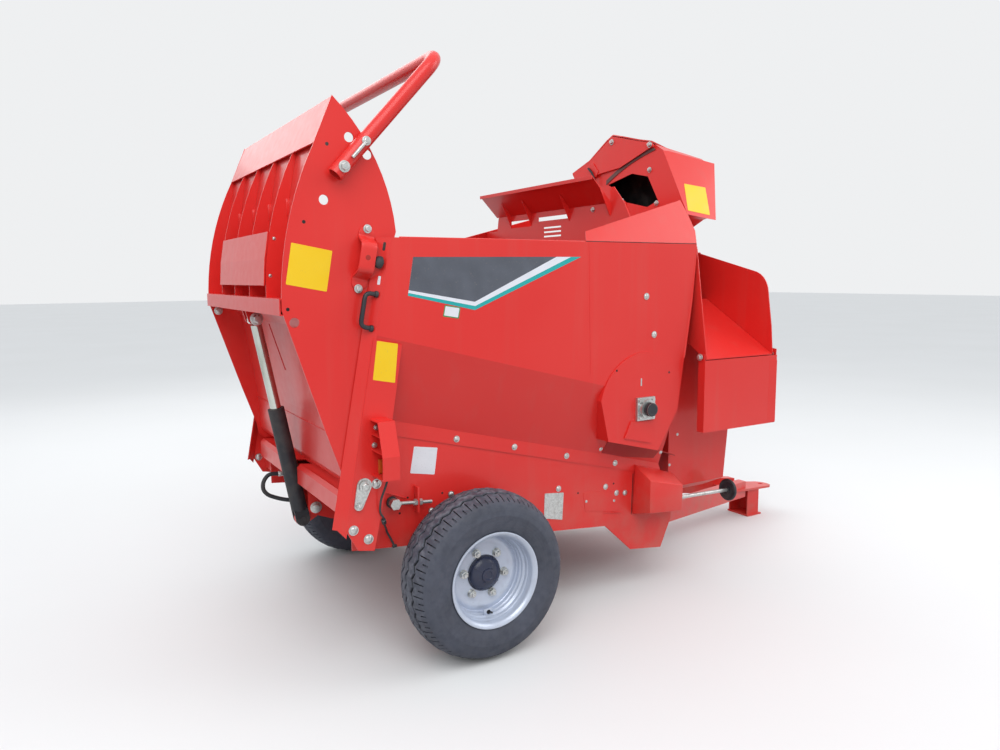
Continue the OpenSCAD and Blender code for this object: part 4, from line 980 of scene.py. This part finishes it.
def lamp_lead():
    """The lamp's cable on the frame's route, with its plug and clip."""
    way = places((
        (-445, -800, 865.4), (-445, -800, 845), (-455, -790, 805), (-463, -776, 765), (-463, -765, 715),
        (-450, -763, 688), (-440, -744, 662), (-418, -700, 630), (-398, -662, 605), (-385, -643, 580),
        (-365, -641, 540), (-352, -641, 512),
    ))
    cable = settle_rubber(tube(smooth_way(way), 0.0045), "lamp_lead")
    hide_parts("lamp_cable")
    plug = bar(place(-447, -757, 676), place(-434, -733, 654), 0.010)
    clip = slab(place(-362, -646, 506), place(-342, -635, 518), 0.002)
    settle(united([plug, clip]), "cable_joint", "chassis", PLASTIC_BLACK)


# Fittings of the right post and the striker

FLANGE_X, FLANGE_Y = -13.3, -739  # a point of the post's slanting flange, as on_post counts
FLANGE_BACK, FLANGE_OUT = 0.64, 0.768  # its slant to the rear and outwards
STRIKER_X = -48
STRIKER_DEPTH = 0.064


def rubber_buffer():
    dome = turned([
        (0.014, 0.0), (0.014, 0.004), (0.0240, 0.006), (0.0250, 0.013), (0.0240, 0.021), (0.0195, 0.0290),
        (0.0115, 0.0330), (SHUT, 0.0340),
    ], 40)
    buffer = settle_rubber(stand(dome, on_post(-13, -746, 1740), OFF_POST), "rubber_buffer")
    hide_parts("gate_buffer")


def bent_grab_handle():
    """A bent grip on two feet, in the post's own plane."""
    y, low, high = -740, 1479, 1615
    bends = [
        (-12, low), (-44, 1480), (-54, 1484), (-60, 1492), (-62, 1504), (-62, 1590), (-60, 1602), (-54, 1610),
        (-44, 1614), (-12, high),
    ]
    grip = tube([on_post(x, y, z) for x, z in bends], 0.0095, 6)
    feet = [bar(on_post(-10, y, z), on_post(-24, y, z), 0.0135) for z in (low, high)]
    handle = united([grip] + feet)
    settle(handle, "bent_grab_handle", "chassis", PLASTIC_BLACK, 50)
    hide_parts("grab_handle")


def flange_mark(name, z, radius, finish):
    """A thin plate 12 mm wide and 34 mm high on the slanting flange."""
    away = OFF_POST * (1000 * FLANGE_OUT) - Vector((0, FLANGE_BACK, 0))
    half_w, half_h, gap = 6, 17, 0.0002
    corners = []
    for a, b in ((-half_w, -half_h), (half_w, -half_h), (half_w, half_h), (-half_w, half_h)):
        spot = on_post(FLANGE_X - FLANGE_BACK * a, FLANGE_Y + FLANGE_OUT * a, z + b)
        corners.append(spot + away.normalized() * gap)
    settle(sheet_piece(rounded(corners, radius), 0.0004, away), name, "chassis", finish, 0)


def pressed_striker():
    """The pressed bracket on the tailgate that meets the buffer: a hat section with two rounded feet."""
    hat = [
        (1652, 706), (1666, 706), (1692, 760), (1804, 760), (1830, 706), (1844, 706),
        (1844, 700), (1824, 700), (1798, 754), (1698, 754), (1672, 700), (1652, 700),
    ]
    bends = [0.001, 0.009, 0.022, 0.022, 0.009, 0.001, 0.001, 0.012, 0.017, 0.017, 0.012, 0.001]
    corners = rounded([on_post(STRIKER_X, -y, z) for z, y in hat], bends, 6)
    pieces = [sheet_piece(corners, STRIKER_DEPTH, OFF_POST)]
    sharp, round_tip = 0.001, 0.026
    for low, high, tips in (
        (1626, 1674, [round_tip, round_tip, sharp, sharp]),
        (1822, 1868, [sharp, sharp, round_tip, round_tip]),
    ):
        outline = ((-112, low), (STRIKER_X, low), (STRIKER_X, high), (-112, high))
        foot = rounded([on_post(x, -HALF_GATE - 0.2, z) for x, z in outline], tips, 6)
        pieces.append(sheet_piece(foot, 0.0058, RIGHTWARD))
    striker = settle_red(bevelled(united(pieces), 0.0012), "pressed_striker", "tailgate", 40)
    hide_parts("gate_striker")
    # A darker red disc as painted shade in the hole of the striker's crown
    mark = turned([(0.0105, 0.0), (0.0100, 0.0004), (SHUT, 0.0004)], 24)
    settle_shaded_red(stand(mark, on_post(-80, -760, 1748), RIGHTWARD), "striker_hole_shade", "tailgate")


# Fittings of the sides


def rotor_cover_marks(side):
    """The step below the bearing, the slot above it and the bearing's cap."""
    word = SIDES[side]
    y = side * COVER_FACE
    step = [(855, 948), (992, 938), (988, 826), (815, 868)]
    sticker(f"bearing_step_{word}", step, y, "chassis", RED, 0.007)
    slot = [(918, 1156), (926, 1156), (926, 1118), (918, 1118)]
    sticker(f"cover_slot_{word}", slot, y, "chassis", ZINC, 0.0006, 0.003)
    cap = turned([
        (0.0335, 0.034), (0.0345, 0.036), (0.0345, 0.056), (0.0320, 0.0610), (0.0240, 0.0622),
        (0.0225, 0.0613), (SHUT, 0.0612),
    ], 48)
    stand(cap, place(ROTOR_X, y, ROTOR_Z), (0, side, 0))
    settle(cap, f"bearing_cap_{word}", "chassis", PLASTIC_BLACK)


def cover_sill(side):
    """The slanting sheet that closes a rotor cover below, down to the chassis, in the darker red of painted
    shade.
    """
    sill = []
    for x, z in ((772, 779), (912, 741), (1112, 710), (1140, 752), (1010, 800), (800, 860)):
        sill.append(place(x, side * (641.8 + 0.08537 * (x - 912.8) + 0.33453 * (z - 740.3)), z))
    sheet = sheet_piece(sill, 0.0012, Vector(cover_slant(side)))
    settle_shaded_red(sheet, f"cover_sill_{SIDES[side]}", smooth=0)


def panel_edges(side):
    """Rolled edges and the joint of the upper side panel, and a black strip as painted shade in the gap where
    its shoulder sits.
    """
    word = SIDES[side]
    front = ((1279, 1800), (1268, 1660), (1256, 1532), (1235, 1390), (1212, 1240))
    edge = [place(x, side * (HALF_BODY - 4), z) for x, z in front]
    settle_red(tube(edge, 0.007), f"rolled_edge_{word}", smooth=60)
    joint = [(596, 1806), (599, 1806), (613, 1192), (610, 1192)]
    sticker(f"panel_joint_{word}", joint, side * HALF_BODY, "chassis", RED, 0.0009, 0)
    rolled = bar(place(-345.5, side * 751, 1812), place(574, side * 751, 1812), 0.0042, 12)
    settle_red(rolled, f"rolled_top_{word}")
    # A thin black strip as painted shade in the gap below the shoulder
    seam = slab(place(582, side * 752, 1812.2), place(1278, side * 755.6, 1815.2), 0.0003)
    settle_hollow(seam, f"shoulder_gap_shade_{word}")


def chassis_marks(side):
    """The patch under the rotor, the folds of the chassis plate and the bed tensioner's bush and tab."""
    word = SIDES[side]
    patch = [(664, 588), (678, 492), (868, 459), (912, 466), (905, 566)]
    sticker(f"chassis_patch_{word}", patch, side * HALF_CHASSIS, "chassis", RED, 0.0016, 0.002)
    y = side * (HALF_CHASSIS + 2)
    settle_red(bar(place(-388, y, 754), place(-292, y, 712), 0.003, 10), f"chassis_fold_{word}")
    settle_red(bar(place(796, y, 466), place(905, y, 446), 0.0028, 10), f"patch_lip_{word}")
    bush = turned([(0.0202, 0.0), (0.0255, 0.0005), (0.0255, 0.010), (0.0202, 0.0105)], 40)
    stand(bush, place(-358, side * HALF_CHASSIS, 706), (0, side, 0))
    settle_rubber(bush, f"tensioner_bush_{word}", 30)
    low = place(-253.6, side * (HALF_CHASSIS + 0.2), 649.4)
    high = place(-244.4, side * (HALF_CHASSIS + 39.6), 762.6)
    settle_red(slab(low, high, 0.0012), f"tensioner_tab_{word}")


def side_reflector():
    lamp = slab(place(-463, -(HALF_BODY + 0.2), 872), place(-436, -(HALF_BODY + 9), 930), 0.002)
    settle(lamp, "side_reflector", "chassis", AMBER)


def tailgate_folds():
    """Fold lines of the tailgate's skin and the small tabs at its ribs' tops."""
    fold = bar(place(-577.4, -692, 1008), place(-577.4, 692, 1008), 0.003, 12)
    crease = bar(place(-638.2, 150, 1437), place(-605.7, 14, 1225), 0.003, 12)
    settle_red(united([fold, crease]), "skin_folds", "tailgate")
    rib_pitch = 280
    for i in range(4):
        y = (i - 1.5) * rib_pitch
        tab = slab(place(-696, y - 2.4, 1910), place(-670, y - 6, 1975), 0.001)
        settle_red(tab, f"rib_tab_{2 * i}", "tailgate")


def outlet_folds():
    """The flap's folded front edge, and the lip of the ramp behind the flap in the darker red of painted
    shade.
    """
    corner = places(((1740, -847.6, 864), (1801, -847.6, 864), (1801, -853.5, 864)))
    settle_red(sheet_piece(corner, 0.336, UP), "flap_fold", "side_flap", 0)
    settle_shaded_red(slab(place(1291, -817, 1200), place(1779, -814, 1244)), "ramp_lip")


# Chute


def chute_inner_shade():
    """A black sheet inside the chute, open to the rear, as painted shade of its dark inside."""
    inner = [
        (-650, 1976), (-490, 2266), (-418, 2279), (-330, 2276), (-80, 2342), (112, 2238), (192, 2190),
        (192, 1799), (-262, 1799), (-596, 1960),
    ]
    inner_shade = sheet_piece([place(1478, y, z) for y, z in inner], 0.168, BACKWARD)
    bpy.ops.object.mode_set(mode="EDIT")
    choose(lambda at: at.x < AXLE + 1.3105)
    bpy.ops.mesh.delete(type="FACE")
    bpy.ops.mesh.select_all(action="SELECT")
    bpy.ops.mesh.flip_normals()
    bpy.ops.object.mode_set(mode="OBJECT")
    wall = inner_shade.modifiers.new("wall", "SOLIDIFY")
    wall.thickness = 0.001
    take(inner_shade)
    bpy.ops.object.modifier_apply(modifier="wall")
    settle_hollow(inner_shade, "chute_inner_shade", smooth=0)


def chute_gusset():
    """The plate beside the chute's window."""
    outline = [place(1294.6, y, z) for y, z in ((-56, 2169), (-192, 2068), (-202, 1992), (-95, 1984))]
    settle_red(bevelled(sheet_piece(outline, 0.005, BACKWARD), 0.0008), "chute_gusset", smooth=0)


def hood_link():
    """The link at the chute hood's left end: a plate on the hood and a bent rod on the chute."""
    corners = ((150, 2300), (90, 2318), (40, 2262), (60, 2236), (150, 2226))
    plate = sheet_piece([place(1280.6, y, z) for y, z in corners], 0.004, BACKWARD)
    settle_red(bevelled(plate, 0.0008), "hood_link_plate", "top_hood", 0)
    rod = tube(places(((1272, 128, 2290), (1268, 90, 2262), (1270, 62, 2214), (1276, 60, 2188))), 0.006)
    settle_rubber(rod, "hood_link_rod")


# Drive cover


def drive_cover():
    """The pressed cover over the conveyor's drive, with its rear flank steeper than its front one."""
    face_y, foot_y = -755, -641.4
    # Corners as (x, z), by whether they are front and upper ones
    foot = {(0, 0): (982, 426), (0, 1): (992, 690), (1, 1): (1250, 612), (1, 0): (1258, 425)}
    face = {(0, 0): (1000, 456), (0, 1): (1000, 626), (1, 1): (1225, 572), (1, 0): (1223, 436)}
    clear_choice()
    bpy.ops.mesh.primitive_cube_add(size=2)
    cover = bpy.context.object
    for corner in cover.data.vertices:
        outer = corner.co.y < 0
        x, z = (face if outer else foot)[corner.co.x > 0, corner.co.z > 0]
        corner.co = place(x, face_y if outer else foot_y, z)
    settle_red(bevelled(cover, 0.003, segments=3), "pressed_drive_cover")
    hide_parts("drive_box")
    # A thin black bar as painted shade along the cover's rear edge
    settle_hollow(bar(place(979, -636, 424), place(987, -636, 640), 0.0015, 8), "drive_cover_edge_shade")


# Stage


def pale_sky():
    """A sky that lights more from above, while the camera and mirrors see one pale tone of it."""
    world = bpy.context.scene.world or bpy.data.worlds.new("sky")
    bpy.context.scene.world = world
    world.use_nodes = True
    tree = world.node_tree
    tree.nodes.clear()
    direction = add_node(tree, "ShaderNodeTexCoord", {}).outputs["Generated"]
    upward = add_node(tree, "ShaderNodeSeparateXYZ", {0: direction}).outputs["Z"]
    range_of_light = {"Value": upward, "From Min": -0.15, "From Max": 0.9, "To Min": 0.42, "To Max": 1.12}
    strength = add_node(tree, "ShaderNodeMapRange", range_of_light).outputs["Result"]
    light = add_node(tree, "ShaderNodeBackground", {"Color": (0.93, 0.965, 1.0, 1), "Strength": strength})
    pale = add_node(tree, "ShaderNodeBackground", {"Color": (0.86, 0.87, 0.88, 1)})
    both = {"Fac": seen_directly(tree), 1: light.outputs[0], 2: pale.outputs[0]}
    sky = add_node(tree, "ShaderNodeMixShader", both).outputs[0]
    add_node(tree, "ShaderNodeOutputWorld", {"Surface": sky})


def pale_floor():
    """A floor that is pale to look at and darker in the light that it throws back."""
    clear_choice()
    bpy.ops.mesh.primitive_plane_add(size=120, location=(0, 0, -0.0005))
    floor_plane = bpy.context.object
    floor_plane.name = "floor"
    ground = Finish("pale floor", (0.40, 0.40, 0.40), 0.9)
    tint = ground.mixed(ground.clouds(0.5, 3), (0.74, 0.74, 0.735), (0.78, 0.78, 0.78))
    ground.feed("Base Color", ground.mixed(seen_directly(ground.tree), (0.34, 0.335, 0.33), tint))
    floor_plane.data.materials.append(ground.material)


def light_panels():
    for name, spot, size, power in (
        ("sky_panel", (-3.5, -5.5, 6.5), 6.0, 330),
        ("front_panel", (5.5, -3.5, 4.5), 4.0, 110),
        ("back_panel", (-1.0, 6.0, 6.0), 5.0, 120),
    ):
        bpy.ops.object.light_add(type="AREA", location=spot)
        lamp = bpy.context.object
        lamp.name = name
        lamp.data.size = size
        lamp.data.energy = power
        lamp.rotation_euler = (UP - Vector(spot)).to_track_quat("-Z", "Y").to_euler()


photo_camera()
dress_frame()
hydraulic_hose()
lamp_lead()
for wheel_side in SIDES:
    tread_tyre(wheel_side)
    pressed_rim(wheel_side)
    wheel_nuts(wheel_side)
    grease_cap(wheel_side)
    tyre_valve(wheel_side)
fit_bolts()
decal()
side_labels()
chute_label()
rubber_buffer()
bent_grab_handle()
# The slot is a black plate as painted shade of its inside
flange_mark("post_slot_shade", 1806, 0.0055, SHADOW_BLACK)
flange_mark("post_tag", 1671, 0.002, LABEL_WHITE)
pressed_striker()
for body_side in SIDES:
    rotor_cover_marks(body_side)
    cover_sill(body_side)
    panel_edges(body_side)
    chassis_marks(body_side)
side_reflector()
tailgate_folds()
outlet_folds()
chute_inner_shade()
chute_gusset()
hood_link()
drive_cover()
pale_sky()
pale_floor()
bpy.context.scene.view_settings.view_transform = "Standard"
light_panels()
